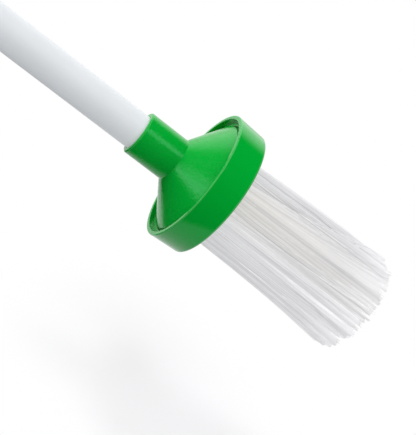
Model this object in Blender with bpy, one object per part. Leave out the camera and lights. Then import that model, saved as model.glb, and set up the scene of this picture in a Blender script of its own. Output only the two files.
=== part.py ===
"""Insect catcher with a squeeze lever.

A round pole joins a moulded grip to a funnel-shaped head. Eight cups of long nylon bristles hinge on a
carrier ring in the head. Squeezing the lever pushes a rod along the pole. A grooved plunger on the rod
pushes the cups' tails forward, so the bristles spread like petals, and a spring closes them again.

Stations along the pole are measured forward from the mouth of the head's sleeve, so they are negative
toward the grip. Radii are measured from the pole's axis. All sizes are in metres.
"""
import math
import random

import bmesh
import bpy
from mathutils import Matrix, Vector

# Fits between neighbouring pieces
FIT = 0.0003
RUNNING_FIT = 0.0005
CUT_OVERRUN = 0.002

# Pole
POLE_RADIUS = 0.0110
POLE_WALL = 0.0012
EXPOSED_POLE = 0.323
POLE_SEAT_DEPTH = 0.022

# Head housing: sleeve, cone and flange in one moulding
SLEEVE_WALL = 0.0025
SLEEVE_LENGTH = 0.0266
MOUTH_CHAMFER = 0.0007
CONE_LENGTH = 0.0168
CONE_RADIUS = 0.0371
CONE_EDGE_ROUND = 0.0007
CONE_WALL = 0.0024
THROAT_RADIUS = 0.0090
EDGE_DEPTH = 0.0031
FLANGE_THICKNESS = 0.0017

# Retaining ring
RING_RADIUS = 0.0434
RING_DRAFT = 0.0010
RING_WALL = 0.0026
RIM_RISE = 0.0053
RIM_ROUND = 0.0011
FRONT_ROUND = 0.0013
BEAD_HEIGHT = 0.0013
BEAD_WIDTH = 0.0014
LIP_HEIGHT = 0.0022
LIP_THICKNESS = 0.0019
RING_FRONT_DEPTH = 0.0128

# Bristle cups and their hinges
CUP_COUNT = 8
PIVOT_RADIUS = 0.0250
PIVOT_BEHIND_FLANGE = 0.0012
OPEN_ANGLE = math.radians(24)
TAIL_ARM = 0.0090
TAIL_BALL_RADIUS = 0.0015
TAIL_HALF_WIDTH = 0.0026
TAIL_NECK_HALF_WIDTH = 0.0022
TAIL_NECK_HALF_DEPTH = 0.0010
TRUNNION_RADIUS = 0.0016
TRUNNION_REACH = 0.0087
HUB_HALF_WIDTH = 0.0044
HUB_BACK = 0.0032
HUB_INNER = 0.0062
HUB_OUTER = 0.0045
TRAY_INNER_RADIUS = 0.0130
TRAY_OUTER_RADIUS = 0.0308
TRAY_SIDE_GAP = 0.00045
TRAY_BACK = 0.0037
TRAY_DEPTH = 0.0088
TRAY_FLOOR = 0.0016
TRAY_WALL = 0.0012

# Carrier ring with its bearing ribs
CARRIER_WALL = 0.0025
CARRIER_WEB = 0.0020
CARRIER_WEB_INNER_RADIUS = 0.0334
RIB_THICKNESS = 0.0060
RIB_BOSS_WALL = 0.0013
RIB_BAR_BACK = 0.0022
RIB_BAR_FRONT = 0.0001
RIB_FOOT_BACK = 0.0014

# Bristle tufts
BRISTLE_REACH = 0.130
BACKING_THICKNESS = 0.0018
STRAND_COLUMNS = 7
STRAND_ROWS = 6
STRAND_CELL_SHARE = 0.36
STRAND_TAPER_SHARE = 0.80
CORE_RADIUS = 0.0062
TIP_SIDE_GAP = 0.0007
RAGGED_SHARE = 0.05
STRAY_SHARE = 0.14
TUFT_REACH_SHARES = (0.985, 0.995, 0.99, 1.0, 0.99, 0.985, 0.98, 0.985)
TUFT_SPREAD = 0.0405
TUFT_SPREAD_SHARES = (0.80, 0.87, 0.94, 1.0, 0.98, 0.92, 0.85, 0.79)

# Rod, plunger and bushes
ROD_RADIUS = 0.0020
ROD_COLLAR_RADIUS = 0.0040
ROD_COLLAR_WIDTH = 0.0017
PLUNGER_HUB_RADIUS = 0.0060
PLUNGER_HUB_BACK = 0.0032
PLUNGER_HUB_FRONT = 0.0033
PLUNGER_FLANGE = 0.0018
PLUNGER_FLANGE_COVER = 0.0011
PLUNGER_GROOVE_ROOM = 0.0004
NUT_RADIUS = 0.0038
NUT_WIDTH = 0.0032
ROD_END_SHOWING = 0.0008
BUSH_PLUG_LENGTH = 0.0080
BUSH_FLANGE = 0.0017
BUSH_FLANGE_RADIUS = 0.0109

# Slider, spring and trigger
TRIGGER_SWING = math.radians(16)
TRIGGER_SETBACK = 0.0460
SLIDER_FRONT = 0.0069
SLIDER_BACK = 0.0051
SLIDER_HALF_SIZE = 0.0040
SLIDER_COLLAR_RADIUS = 0.0065
SLIDER_COLLAR_WIDTH = 0.0020
SLIDER_BORE_DEPTH = 0.0045
SLIDER_PIN_RADIUS = 0.0015
SPRING_RADIUS = 0.0051
SPRING_WIRE_RADIUS = 0.0006
SPRING_TURNS = 6
SPRING_POINTS_PER_TURN = 10
TRIGGER_HALF_WIDTH = 0.0068
FORK_FINGER = 0.00155
FORK_GAP_HALF = 0.0044
FORK_END = 0.0026
TRIGGER_HUB = 0.0045
FORK_SHOULDER_SHARE = 0.5
TRIGGER_PIN_RADIUS = 0.0020
TRIGGER_PIN_HALF_LENGTH = 0.0105
LEVER_TIP_GAP = 0.0120
LEVER_NECK = 0.0090
LEVER_DEPTH = 0.0080
LEVER_TOP_ROUND_SHARE = 0.25
LEVER_TIP_ROUND_SHARE = 0.5
LEVER_GAP = 0.0010

# Grip, moulded in two halves
HANDLE_LENGTH = 0.150
HANDLE_WIDTH = 0.0260
HANDLE_SIDE_ROUND = 0.0034
HANDLE_CORNER_ROUND = 0.0045
NOSE_WALL = 0.0032
NOSE_LENGTH = 0.0240
NOSE_CHAMFER = 0.0010
SHOULDER_SETBACK = 0.0080
SHOULDER_HEIGHT = 0.0115
CROWN_SETBACK = 0.0440
CROWN_HEIGHT = 0.0180
CROWN_ROUND = 0.0375
PALM_HEIGHT = 0.0145
PALM_FROM_BUTT = 0.0380
BUTT_HEIGHT = 0.0020
BUTT_ROUND = 0.0120
BUTT_DROP = 0.0150
BUTT_LOWER_ROUND = 0.0400
UNDERSIDE_DROP = 0.0150
HEEL_RAKE = 0.0030
HEEL_FOOT_LENGTH = 0.0280
HEEL_BACK_ROUND = 0.0068
HEEL_FRONT_ROUND = 0.0056
HEEL_THROAT_FROM_BUTT = 0.0390
HEEL_THROAT_ROUND = 0.0090
CHIN_WALL = 0.0034
CHIN_AHEAD_OF_PIN = 0.0160
CHIN_BEHIND_PIN = 0.0120
CHIN_SLOPE = 0.0060
CHIN_LEAD = 0.0100
CHIN_FRONT_ROUND = 0.0068
CHIN_FOOT_ROUND = 0.0022
SPRING_CHAMBER_RADIUS = 0.0085
TRIGGER_CHAMBER_FRONT = 0.0120
TRIGGER_CHAMBER_BACK = 0.0140
TRIGGER_CHAMBER_TOP = 0.0065
LEVER_SLOT_BACK = 0.0200
PALM_CAVITY_BEHIND_PIN = 0.0240
GRIP_WALL = 0.0035
GRIP_SIDE_WALL = 0.0026
BUTT_WALL = 0.0070
CAVITY_FLOOR_DROP = 0.0190
EYE_FROM_BUTT = 0.0180
EYE_DROP = 0.0290
EYE_RADIUS = 0.0055
SCREW_SHANK_RADIUS = 0.0013
SCREW_HEAD_RADIUS = 0.0030
SCREW_HEAD_DEPTH = 0.0020
SCREW_SINK = 0.0004
SCREW_BITE = 0.0080
NOSE_SCREW_SETBACK = 0.0290
MIDDLE_SCREW_BEHIND_PIN = 0.0190
HEEL_SCREW_FROM_BUTT = 0.0250
SCREW_HEIGHTS = (-0.0132, 0.0020, -0.0375)

# Facets
HEAD_SEGMENTS = 56
CARRIER_SEGMENTS = 48
POLE_SEGMENTS = 32
SMALL_SEGMENTS = 20
PIN_SEGMENTS = 12
NUT_SIDES = 6
STRAND_SIDES = 3
WEDGE_OUTER_STEPS = 5
WEDGE_INNER_STEPS = 2
EDGE_STEPS = 3
SMOOTH_ANGLE = math.radians(32)
ARC_STEP = math.radians(24)

# Places worked out from the sizes
SLEEVE_RADIUS = POLE_RADIUS + FIT + SLEEVE_WALL
SLEEVE_BORE = POLE_RADIUS + FIT
CONE_END = SLEEVE_LENGTH + CONE_LENGTH
FLANGE_BACK = CONE_END + EDGE_DEPTH
FLANGE_FRONT = FLANGE_BACK + FLANGE_THICKNESS
PIVOT_STATION = FLANGE_FRONT - PIVOT_BEHIND_FLANGE
TIP_REACH = PIVOT_STATION + BRISTLE_REACH
RING_BACK = FLANGE_BACK - RIM_RISE
RING_FRONT = FLANGE_FRONT + RING_FRONT_DEPTH
RING_BORE = RING_RADIUS - RING_DRAFT - RING_WALL
FLANGE_RADIUS = RING_BORE - FIT
AXIS_HEIGHT = RING_RADIUS
WEDGE_ANGLE = math.pi / CUP_COUNT
ROD_TRAVEL = 2 * TAIL_ARM * math.sin(OPEN_ANGLE / 2)
TRIGGER_ARM = ROD_TRAVEL / (2 * math.tan(TRIGGER_SWING / 2))
POLE_FRONT = SLEEVE_LENGTH - BUSH_FLANGE - 2 * FIT - CONE_WALL
NOSE_STATION = -EXPOSED_POLE
POLE_BACK = NOSE_STATION - POLE_SEAT_DEPTH
BUTT_STATION = NOSE_STATION - HANDLE_LENGTH
TRIGGER_STATION = NOSE_STATION - TRIGGER_SETBACK
CHIN_FRONT_SETBACK = TRIGGER_SETBACK - CHIN_AHEAD_OF_PIN
CHIN_BACK_SETBACK = TRIGGER_SETBACK + CHIN_BEHIND_PIN
PALM_CAVITY_SETBACK = TRIGGER_SETBACK + PALM_CAVITY_BEHIND_PIN
PALM_SETBACK = HANDLE_LENGTH - PALM_FROM_BUTT
HEEL_THROAT_SETBACK = HANDLE_LENGTH - HEEL_THROAT_FROM_BUTT
EYE_SETBACK = HANDLE_LENGTH - EYE_FROM_BUTT
LEVER_REACH = HEEL_THROAT_SETBACK - TRIGGER_SETBACK - LEVER_TIP_GAP
SCREW_SETBACKS = (
    NOSE_SCREW_SETBACK,
    TRIGGER_SETBACK + MIDDLE_SCREW_BEHIND_PIN,
    HANDLE_LENGTH - HEEL_SCREW_FROM_BUTT,
)
SLIDER_PIN_STATION = TRIGGER_STATION - ROD_TRAVEL / 2
SLIDER_FRONT_STATION = SLIDER_PIN_STATION + SLIDER_FRONT
GROOVE_STATION = PIVOT_STATION - TAIL_ARM * math.sin(OPEN_ANGLE / 2)
BALL_RADIUS_FROM_AXIS = PIVOT_RADIUS - TAIL_ARM * math.cos(OPEN_ANGLE / 2)
CENTRE_SHIFT = -(TIP_REACH + BUTT_STATION) / 2


def clear_scene():
    """Remove every object that the file opened with."""
    for item in list(bpy.data.objects):
        bpy.data.objects.remove(item, do_unlink=True)


def material(name, colour, roughness, metallic=0.0, transmission=0.0):
    """A plain Principled material."""
    made = bpy.data.materials.new(name)
    made.use_nodes = True
    shader = made.node_tree.nodes["Principled BSDF"]
    shader.inputs["Base Color"].default_value = (*colour, 1.0)
    shader.inputs["Roughness"].default_value = roughness
    shader.inputs["Metallic"].default_value = metallic
    shader.inputs["Transmission Weight"].default_value = transmission
    return made


def empty(name, location, turn=0.0, parent=None):
    """A frame to hang pieces on, turned about the pole's axis."""
    frame = bpy.data.objects.new(name, None)
    frame.empty_display_size = POLE_RADIUS
    frame.location = location
    frame.rotation_euler = (turn, 0.0, 0.0)
    frame.parent = parent
    bpy.context.collection.objects.link(frame)
    return frame


def add_object(name, data, finish, parent, location=(0.0, 0.0, 0.0)):
    """Link a mesh or curve as a named object with its material."""
    made = bpy.data.objects.new(name, data)
    if not data.materials:
        data.materials.append(finish)
    made.location = location
    made.parent = parent
    bpy.context.collection.objects.link(made)
    return made


def mesh_from(bm, name):
    """Close a bmesh into a mesh whose faces point out and whose round stretches shade smooth."""
    bmesh.ops.recalc_face_normals(bm, faces=bm.faces)
    if bm.calc_volume(signed=True) < 0:
        bmesh.ops.reverse_faces(bm, faces=bm.faces)
    data = bpy.data.meshes.new(name)
    bm.to_mesh(data)
    bm.free()
    data.shade_smooth()
    data.set_sharp_from_angle(angle=SMOOTH_ANGLE)
    return data


def combine(data, tools, operation):
    """Unite a mesh with tool meshes, or cut them out of it, and return the new mesh."""
    for tool in tools:
        body = bpy.data.objects.new("body", data)
        cutter = bpy.data.objects.new("cutter", tool)
        bpy.context.collection.objects.link(body)
        bpy.context.collection.objects.link(cutter)
        step = body.modifiers.new("combine", "BOOLEAN")
        step.operation = operation
        step.solver = "EXACT"
        step.object = cutter
        graph = bpy.context.evaluated_depsgraph_get()
        data = bpy.data.meshes.new_from_object(body.evaluated_get(graph))
        bpy.data.objects.remove(body)
        bpy.data.objects.remove(cutter)
    data.shade_smooth()
    data.set_sharp_from_angle(angle=SMOOTH_ANGLE)
    return data


def unite(data, *tools):
    """One body from overlapping meshes."""
    return combine(data, tools, "UNION")


def cut(data, *tools):
    """The mesh with the tools taken out."""
    return combine(data, tools, "DIFFERENCE")


def rounded(corners):
    """An outline whose corners, given as (a, b, radius), are turned into arcs where the radius isn't zero."""
    points = []
    for index, (a, b, radius) in enumerate(corners):
        corner = Vector((a, b))
        if radius == 0:
            points.append(corner)
            continue
        before = Vector(corners[index - 1][:2]) - corner
        after = Vector(corners[(index + 1) % len(corners)][:2]) - corner
        half = before.angle(after) / 2
        centre = corner + (before.normalized() + after.normalized()).normalized() * radius / math.sin(half)
        start = corner + before.normalized() * radius / math.tan(half) - centre
        sweep = start.angle_signed(corner + after.normalized() * radius / math.tan(half) - centre)
        steps = max(1, math.ceil(abs(sweep) / ARC_STEP))
        for step in range(steps + 1):
            points.append(centre + Matrix.Rotation(-sweep * step / steps, 2) @ start)
    return points


def turned(name, profile, segments):
    """A body of revolution about the pole's axis from a closed outline of (station, radius)."""
    bm = bmesh.new()
    ring = [bm.verts.new((point[0], 0.0, point[1])) for point in profile]
    edges = [bm.edges.new((ring[i - 1], ring[i])) for i in range(len(ring))]
    bmesh.ops.spin(
        bm, geom=ring + edges, cent=(0, 0, 0), axis=(1, 0, 0), angle=math.tau, steps=segments, use_merge=True
    )
    return mesh_from(bm, name)


def plate(name, outline, half_width, edge_round=0.0):
    """An outline of (station, height) extruded across the part, with its side edges rounded on request."""
    bm = bmesh.new()
    face = bm.faces.new([bm.verts.new((point[0], -half_width, point[1])) for point in outline])
    grown = bmesh.ops.extrude_face_region(bm, geom=[face])
    moved = [item for item in grown["geom"] if isinstance(item, bmesh.types.BMVert)]
    bmesh.ops.translate(bm, verts=moved, vec=(0.0, 2 * half_width, 0.0))
    if edge_round:
        rims = [edge for edge in bm.edges if edge.verts[0].co.y == edge.verts[1].co.y]
        bmesh.ops.bevel(bm, geom=rims, offset=edge_round, segments=EDGE_STEPS, affect="EDGES")
    return mesh_from(bm, name)


def block(name, low, high):
    """A box between two corners."""
    bm = bmesh.new()
    middle = (Vector(low) + Vector(high)) / 2
    size = Vector(high) - Vector(low)
    place = Matrix.Translation(middle) @ Matrix.Diagonal((*size, 1.0))
    bmesh.ops.create_cube(bm, size=1.0, matrix=place)
    return mesh_from(bm, name)


def cross_pin(name, radius, low, high, station, height, segments):
    """A cylinder across the part, between two side positions, at a station and height."""
    bm = bmesh.new()
    place = Matrix.Translation((station, (low + high) / 2, height)) @ Matrix.Rotation(math.pi / 2, 4, "X")
    bmesh.ops.create_cone(
        bm, cap_ends=True, segments=segments, radius1=radius, radius2=radius, depth=high - low, matrix=place
    )
    return mesh_from(bm, name)


def turned_rod(name, radius, back, front, segments):
    """A solid cylinder along the pole's axis."""
    bm = bmesh.new()
    place = Matrix.Translation(((front + back) / 2, 0.0, 0.0)) @ Matrix.Rotation(math.pi / 2, 4, "Y")
    bmesh.ops.create_cone(
        bm, cap_ends=True, segments=segments, radius1=radius, radius2=radius, depth=front - back, matrix=place
    )
    return mesh_from(bm, name)


def pole(finish, frame):
    """The long tube."""
    inner = POLE_RADIUS - POLE_WALL
    profile = [
        (POLE_BACK, inner),
        (POLE_BACK, POLE_RADIUS),
        (POLE_FRONT, POLE_RADIUS),
        (POLE_FRONT, inner),
    ]
    return add_object("pole", turned("pole", profile, POLE_SEGMENTS), finish, frame)


def head_housing(finish, frame):
    """Sleeve, cone and flange. The cone's wall keeps one thickness, measured square to its slope."""
    slope = (CONE_RADIUS - SLEEVE_RADIUS) / CONE_LENGTH
    shift = CONE_WALL / math.sin(math.atan(slope))
    bore = CONE_RADIUS - CONE_WALL
    shoulder = POLE_FRONT + FIT + BUSH_FLANGE + FIT
    throat_front = SLEEVE_LENGTH + shift - (SLEEVE_RADIUS - THROAT_RADIUS) / slope
    bore_back = SLEEVE_LENGTH + shift + (bore - SLEEVE_RADIUS) / slope
    profile = rounded([
        (0.0, SLEEVE_BORE, 0),
        (0.0, SLEEVE_RADIUS - MOUTH_CHAMFER, 0),
        (MOUTH_CHAMFER, SLEEVE_RADIUS, 0),
        (SLEEVE_LENGTH, SLEEVE_RADIUS, 0),
        (CONE_END, CONE_RADIUS, CONE_EDGE_ROUND),
        (FLANGE_BACK, CONE_RADIUS, 0),
        (FLANGE_BACK, FLANGE_RADIUS, 0),
        (FLANGE_FRONT, FLANGE_RADIUS, 0),
        (FLANGE_FRONT, bore, 0),
        (bore_back, bore, 0),
        (throat_front, THROAT_RADIUS, 0),
        (shoulder, THROAT_RADIUS, 0),
        (shoulder, SLEEVE_BORE, 0),
    ])
    return add_object("head_housing", turned("head_housing", profile, HEAD_SEGMENTS), finish, frame)


def retaining_ring(finish, frame):
    """The green band: its rear rim stands proud of the cone, and a bead inside hooks behind the flange."""
    rim_inner = RING_RADIUS - RING_WALL
    bead_front = FLANGE_BACK - FIT
    bead_back = bead_front - BEAD_WIDTH
    front_radius = RING_RADIUS - RING_DRAFT
    lip_back = RING_FRONT - LIP_THICKNESS
    profile = rounded([
        (RING_BACK, rim_inner, 0),
        (RING_BACK, RING_RADIUS, RIM_ROUND),
        (RING_FRONT, front_radius, FRONT_ROUND),
        (RING_FRONT, RING_BORE - LIP_HEIGHT, 0),
        (lip_back, RING_BORE - LIP_HEIGHT, 0),
        (lip_back, RING_BORE, 0),
        (bead_front, RING_BORE, 0),
        (bead_front, RING_BORE - BEAD_HEIGHT, 0),
        (bead_back, RING_BORE - BEAD_HEIGHT, 0),
        (bead_back, rim_inner, 0),
    ])
    return add_object("retaining_ring", turned("retaining_ring", profile, HEAD_SEGMENTS), finish, frame)


def bearing_rib(turn):
    """One rib of the carrier: a boss round the hinge line, a bar outward and a foot on the web."""
    boss = TRUNNION_RADIUS + FIT + RIB_BOSS_WALL
    front = FLANGE_FRONT + FIT + CARRIER_WEB
    register = CONE_RADIUS - CONE_WALL - FIT
    bar_back = PIVOT_STATION - RIB_BAR_BACK
    bar_front = PIVOT_STATION - RIB_BAR_FRONT
    start = math.atan2(math.sqrt(boss**2 - RIB_BAR_BACK**2), -RIB_BAR_BACK)
    end = math.atan2(math.sqrt(boss**2 - RIB_BAR_FRONT**2), -RIB_BAR_FRONT) + math.tau
    steps = math.ceil((end - start) / ARC_STEP)
    outline = []
    for step in range(steps + 1):
        angle = start + (end - start) * step / steps
        outline.append((PIVOT_STATION + boss * math.cos(angle), PIVOT_RADIUS + boss * math.sin(angle)))
    outline += [
        (bar_front, CARRIER_WEB_INNER_RADIUS),
        (front, CARRIER_WEB_INNER_RADIUS),
        (front, register),
        (PIVOT_STATION - RIB_FOOT_BACK, register),
        (bar_back, CARRIER_WEB_INNER_RADIUS),
    ]
    data = plate("rib", outline, RIB_THICKNESS / 2)
    data.transform(Matrix.Rotation(turn, 4, "X"))
    return data


def pivot_carrier(finish, frame):
    """The ring that carries the cups: a wall and web in the retaining ring, and a rib between cups."""
    back = FLANGE_FRONT + FIT
    web_front = back + CARRIER_WEB
    front = RING_FRONT - LIP_THICKNESS - FIT
    profile = [
        (back, CARRIER_WEB_INNER_RADIUS),
        (back, FLANGE_RADIUS),
        (front, FLANGE_RADIUS),
        (front, FLANGE_RADIUS - CARRIER_WALL),
        (web_front, FLANGE_RADIUS - CARRIER_WALL),
        (web_front, CARRIER_WEB_INNER_RADIUS),
    ]
    data = turned("pivot_carrier", profile, CARRIER_SEGMENTS)
    turns = [math.tau * index / CUP_COUNT for index in range(CUP_COUNT)]
    data = unite(data, *[bearing_rib(turn + WEDGE_ANGLE) for turn in turns])
    reach = TRUNNION_REACH + FIT
    for turn in turns:
        hole = cross_pin(
            "hole", TRUNNION_RADIUS + FIT, -reach, reach, PIVOT_STATION, PIVOT_RADIUS, PIN_SEGMENTS
        )
        hole.transform(Matrix.Rotation(turn, 4, "X"))
        data = cut(data, hole)
    return add_object("pivot_carrier", data, finish, frame)


def wedge_half_angle(radius, side_gap):
    """Half the angle that a wedge fills at a radius, when its sides stand off the dividing planes."""
    return WEDGE_ANGLE - math.asin(side_gap / radius)


def wedge(name, inner, outer, side_gap, back, front):
    """A ring sector about the pole's axis, in a cup's own frame, between two depths."""
    outline = []
    for radius, sign, steps in ((outer, 1, WEDGE_OUTER_STEPS), (inner, -1, WEDGE_INNER_STEPS)):
        half = wedge_half_angle(radius, side_gap)
        for step in range(steps + 1):
            angle = sign * half * (2 * step / steps - 1)
            outline.append((radius * math.sin(angle), radius * math.cos(angle) - PIVOT_RADIUS))
    bm = bmesh.new()
    face = bm.faces.new([bm.verts.new((back, side, height)) for side, height in outline])
    grown = bmesh.ops.extrude_face_region(bm, geom=[face])
    moved = [item for item in grown["geom"] if isinstance(item, bmesh.types.BMVert)]
    bmesh.ops.translate(bm, verts=moved, vec=(front - back, 0.0, 0.0))
    return mesh_from(bm, name)


def cup_mesh():
    """A cup in its own frame: origin on the hinge line, X forward, Z away from the pole's axis."""
    tray_front = TRAY_BACK + TRAY_DEPTH
    tray = wedge("cup", TRAY_INNER_RADIUS, TRAY_OUTER_RADIUS, TRAY_SIDE_GAP, TRAY_BACK, tray_front)
    socket = wedge(
        "socket",
        TRAY_INNER_RADIUS + TRAY_WALL,
        TRAY_OUTER_RADIUS - TRAY_WALL,
        TRAY_SIDE_GAP + TRAY_WALL,
        TRAY_BACK + TRAY_FLOOR,
        tray_front + CUT_OVERRUN,
    )
    hub = block(
        "hub",
        (-HUB_BACK, -HUB_HALF_WIDTH, -HUB_INNER),
        (TRAY_BACK + TRAY_FLOOR / 2, HUB_HALF_WIDTH, HUB_OUTER),
    )
    trunnions = cross_pin("trunnions", TRUNNION_RADIUS, -TRUNNION_REACH, TRUNNION_REACH, 0, 0, PIN_SEGMENTS)
    neck = block(
        "neck",
        (-TAIL_NECK_HALF_DEPTH, -TAIL_NECK_HALF_WIDTH, -TAIL_ARM),
        (TAIL_NECK_HALF_DEPTH, TAIL_NECK_HALF_WIDTH, 0.0),
    )
    ball = cross_pin(
        "ball", TAIL_BALL_RADIUS, -TAIL_HALF_WIDTH, TAIL_HALF_WIDTH, 0, -TAIL_ARM, PIN_SEGMENTS
    )
    lean = Matrix.Rotation(OPEN_ANGLE / 2, 4, "Y")
    neck.transform(lean)
    ball.transform(lean)
    return unite(cut(tray, socket), hub, trunnions, neck, ball)


def tuft_mesh(name, tuft):
    """A tuft in its cup's frame: straight strands that rise from a thin backing and fan apart.

    A strand keeps to its own cell of the rows and columns from root to tip, so no two strands cross.
    A ragged strand is cut short along its own line.
    """
    rng = random.Random(tuft + 1)
    gap = TRAY_SIDE_GAP + TRAY_WALL + FIT
    inner = TRAY_INNER_RADIUS + TRAY_WALL + FIT
    outer = TRAY_OUTER_RADIUS - TRAY_WALL - FIT
    back = TRAY_BACK + TRAY_FLOOR + FIT
    root = back + BACKING_THICKNESS
    reach = TIP_REACH * TUFT_REACH_SHARES[tuft] - PIVOT_STATION
    spread = TUFT_SPREAD * TUFT_SPREAD_SHARES[tuft]

    def place(across, outward, low, high, side_gap):
        """Side and height of a point in the sector, from shares across (-1 to 1) and outward (0 to 1)."""
        radius = low + (high - low) * outward
        angle = across * wedge_half_angle(radius, side_gap)
        return radius * math.sin(angle), radius * math.cos(angle) - PIVOT_RADIUS

    def cell_width(outward, low, high, side_gap):
        """How wide a strand's cell is at a share of the way outward."""
        radius = low + (high - low) * outward
        return 2 * radius * wedge_half_angle(radius, side_gap) / STRAND_COLUMNS

    bm = bmesh.new()
    grid = []
    for row in range(STRAND_ROWS + 1):
        line = []
        for column in range(STRAND_COLUMNS + 1):
            across = 2 * column / STRAND_COLUMNS - 1
            line.append(bm.verts.new((root, *place(across, row / STRAND_ROWS, inner, outer, gap))))
        grid.append(line)
    for row in range(STRAND_ROWS):
        for column in range(STRAND_COLUMNS):
            across = (2 * column + 1) / STRAND_COLUMNS - 1
            outward = (row + 0.5) / STRAND_ROWS
            middle = column == STRAND_COLUMNS // 2 and row == STRAND_ROWS // 2
            kept_share = 1.0 if middle else 1.0 - RAGGED_SHARE * rng.random()
            foot = Vector((root, *place(across, outward, inner, outer, gap)))
            aim = Vector((reach, *place(across, outward, CORE_RADIUS, spread, TIP_SIDE_GAP)))
            foot_cell = cell_width(outward, inner, outer, gap)
            aim_cell = cell_width(outward, CORE_RADIUS, spread, TIP_SIDE_GAP)
            aim += Vector((0.0, rng.uniform(-1, 1), rng.uniform(-1, 1))) * aim_cell * STRAY_SHARE
            tip = foot.lerp(aim, kept_share)
            foot_radius = STRAND_CELL_SHARE * foot_cell
            tip_radius = STRAND_CELL_SHARE * min(foot_cell * STRAND_TAPER_SHARE, aim_cell)
            low_ring = []
            top_ring = []
            for corner in range(STRAND_SIDES):
                angle = math.tau * corner / STRAND_SIDES - math.pi / 2
                spoke = Vector((0.0, math.cos(angle), math.sin(angle)))
                low_ring.append(bm.verts.new(foot + spoke * foot_radius))
                top_ring.append(bm.verts.new(tip + spoke * tip_radius))
            a, b = grid[row][column], grid[row][column + 1]
            c, d = grid[row + 1][column + 1], grid[row + 1][column]
            p, q, r = low_ring
            bm.faces.new((a, b, p))
            bm.faces.new((b, c, q, p))
            bm.faces.new((c, d, r, q))
            bm.faces.new((d, a, p, r))
            for corner in range(STRAND_SIDES):
                follow = (corner + 1) % STRAND_SIDES
                bm.faces.new((low_ring[corner], low_ring[follow], top_ring[follow], top_ring[corner]))
            bm.faces.new(top_ring)
    rim = grid[0] + [line[-1] for line in grid[1:]] + grid[-1][-2::-1] + [line[0] for line in grid[-2:0:-1]]
    base = [bm.verts.new((back, vert.co.y, vert.co.z)) for vert in rim]
    for index in range(len(rim)):
        bm.faces.new((rim[index - 1], rim[index], base[index], base[index - 1]))
    bm.faces.new(base)
    return mesh_from(bm, name)


def bristle_cups(cup_finish, tuft_finish, frame):
    """Eight cups on their hinge lines, each with its tuft."""
    shared = cup_mesh()
    for index in range(CUP_COUNT):
        turn = math.tau * index / CUP_COUNT
        place = (PIVOT_STATION, -PIVOT_RADIUS * math.sin(turn), PIVOT_RADIUS * math.cos(turn))
        hinge = empty(f"hinge_{index + 1}", place, turn, frame)
        add_object(f"bristle_cup_{index + 1}", shared, cup_finish, hinge)
        name = f"bristle_tuft_{index + 1}"
        add_object(name, tuft_mesh(name, index), tuft_finish, hinge)


def plunger(finish, frame):
    """The grooved spool that the cups' tails ride in."""
    half_groove = TAIL_BALL_RADIUS + FIT
    bore = ROD_RADIUS + FIT
    floor = BALL_RADIUS_FROM_AXIS - TAIL_BALL_RADIUS - PLUNGER_GROOVE_ROOM
    rim = BALL_RADIUS_FROM_AXIS + PLUNGER_FLANGE_COVER
    back = GROOVE_STATION - half_groove - PLUNGER_FLANGE
    front = GROOVE_STATION + half_groove + PLUNGER_FLANGE
    profile = [
        (back - PLUNGER_HUB_BACK, bore),
        (back - PLUNGER_HUB_BACK, PLUNGER_HUB_RADIUS),
        (back, PLUNGER_HUB_RADIUS),
        (back, rim),
        (GROOVE_STATION - half_groove, rim),
        (GROOVE_STATION - half_groove, floor),
        (GROOVE_STATION + half_groove, floor),
        (GROOVE_STATION + half_groove, rim),
        (front, rim),
        (front, PLUNGER_HUB_RADIUS),
        (front + PLUNGER_HUB_FRONT, PLUNGER_HUB_RADIUS),
        (front + PLUNGER_HUB_FRONT, bore),
    ]
    return add_object("plunger", turned("plunger", profile, POLE_SEGMENTS), finish, frame)


def push_rod(finish, frame):
    """The rod from the slider to the plunger, with the collar that the plunger's hub seats on."""
    groove_edge = TAIL_BALL_RADIUS + FIT + PLUNGER_FLANGE
    collar_front = GROOVE_STATION - groove_edge - PLUNGER_HUB_BACK - FIT
    hub_front = GROOVE_STATION + groove_edge + PLUNGER_HUB_FRONT
    front = hub_front + FIT + NUT_WIDTH + ROD_END_SHOWING
    back = SLIDER_FRONT_STATION - SLIDER_BORE_DEPTH + FIT
    rod = turned_rod("push_rod", ROD_RADIUS, back, front, PIN_SEGMENTS)
    collar = [
        (collar_front - ROD_COLLAR_WIDTH, ROD_RADIUS / 2),
        (collar_front - ROD_COLLAR_WIDTH, ROD_COLLAR_RADIUS),
        (collar_front, ROD_COLLAR_RADIUS),
        (collar_front, ROD_RADIUS / 2),
    ]
    add_object("push_rod", unite(rod, turned("collar", collar, SMALL_SEGMENTS)), finish, frame)
    nut_back = hub_front + FIT
    nut_front = nut_back + NUT_WIDTH
    nut = turned_rod("rod_nut", NUT_RADIUS, nut_back, nut_front, NUT_SIDES)
    bore = turned_rod("bore", ROD_RADIUS + FIT, nut_back - CUT_OVERRUN, nut_front + CUT_OVERRUN, PIN_SEGMENTS)
    add_object("rod_nut", cut(nut, bore), finish, frame)


def rod_bush(name, mouth, facing, finish, frame):
    """A flanged plug in one end of the pole. It faces +1 at the front end and -1 at the back end."""
    plug = POLE_RADIUS - POLE_WALL - FIT
    bore = ROD_RADIUS + FIT
    profile = [
        (mouth - facing * BUSH_PLUG_LENGTH, bore),
        (mouth - facing * BUSH_PLUG_LENGTH, plug),
        (mouth + facing * FIT, plug),
        (mouth + facing * FIT, BUSH_FLANGE_RADIUS),
        (mouth + facing * (FIT + BUSH_FLANGE), BUSH_FLANGE_RADIUS),
        (mouth + facing * (FIT + BUSH_FLANGE), bore),
    ]
    return add_object(name, turned(name, profile, SMALL_SEGMENTS), finish, frame)


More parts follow.
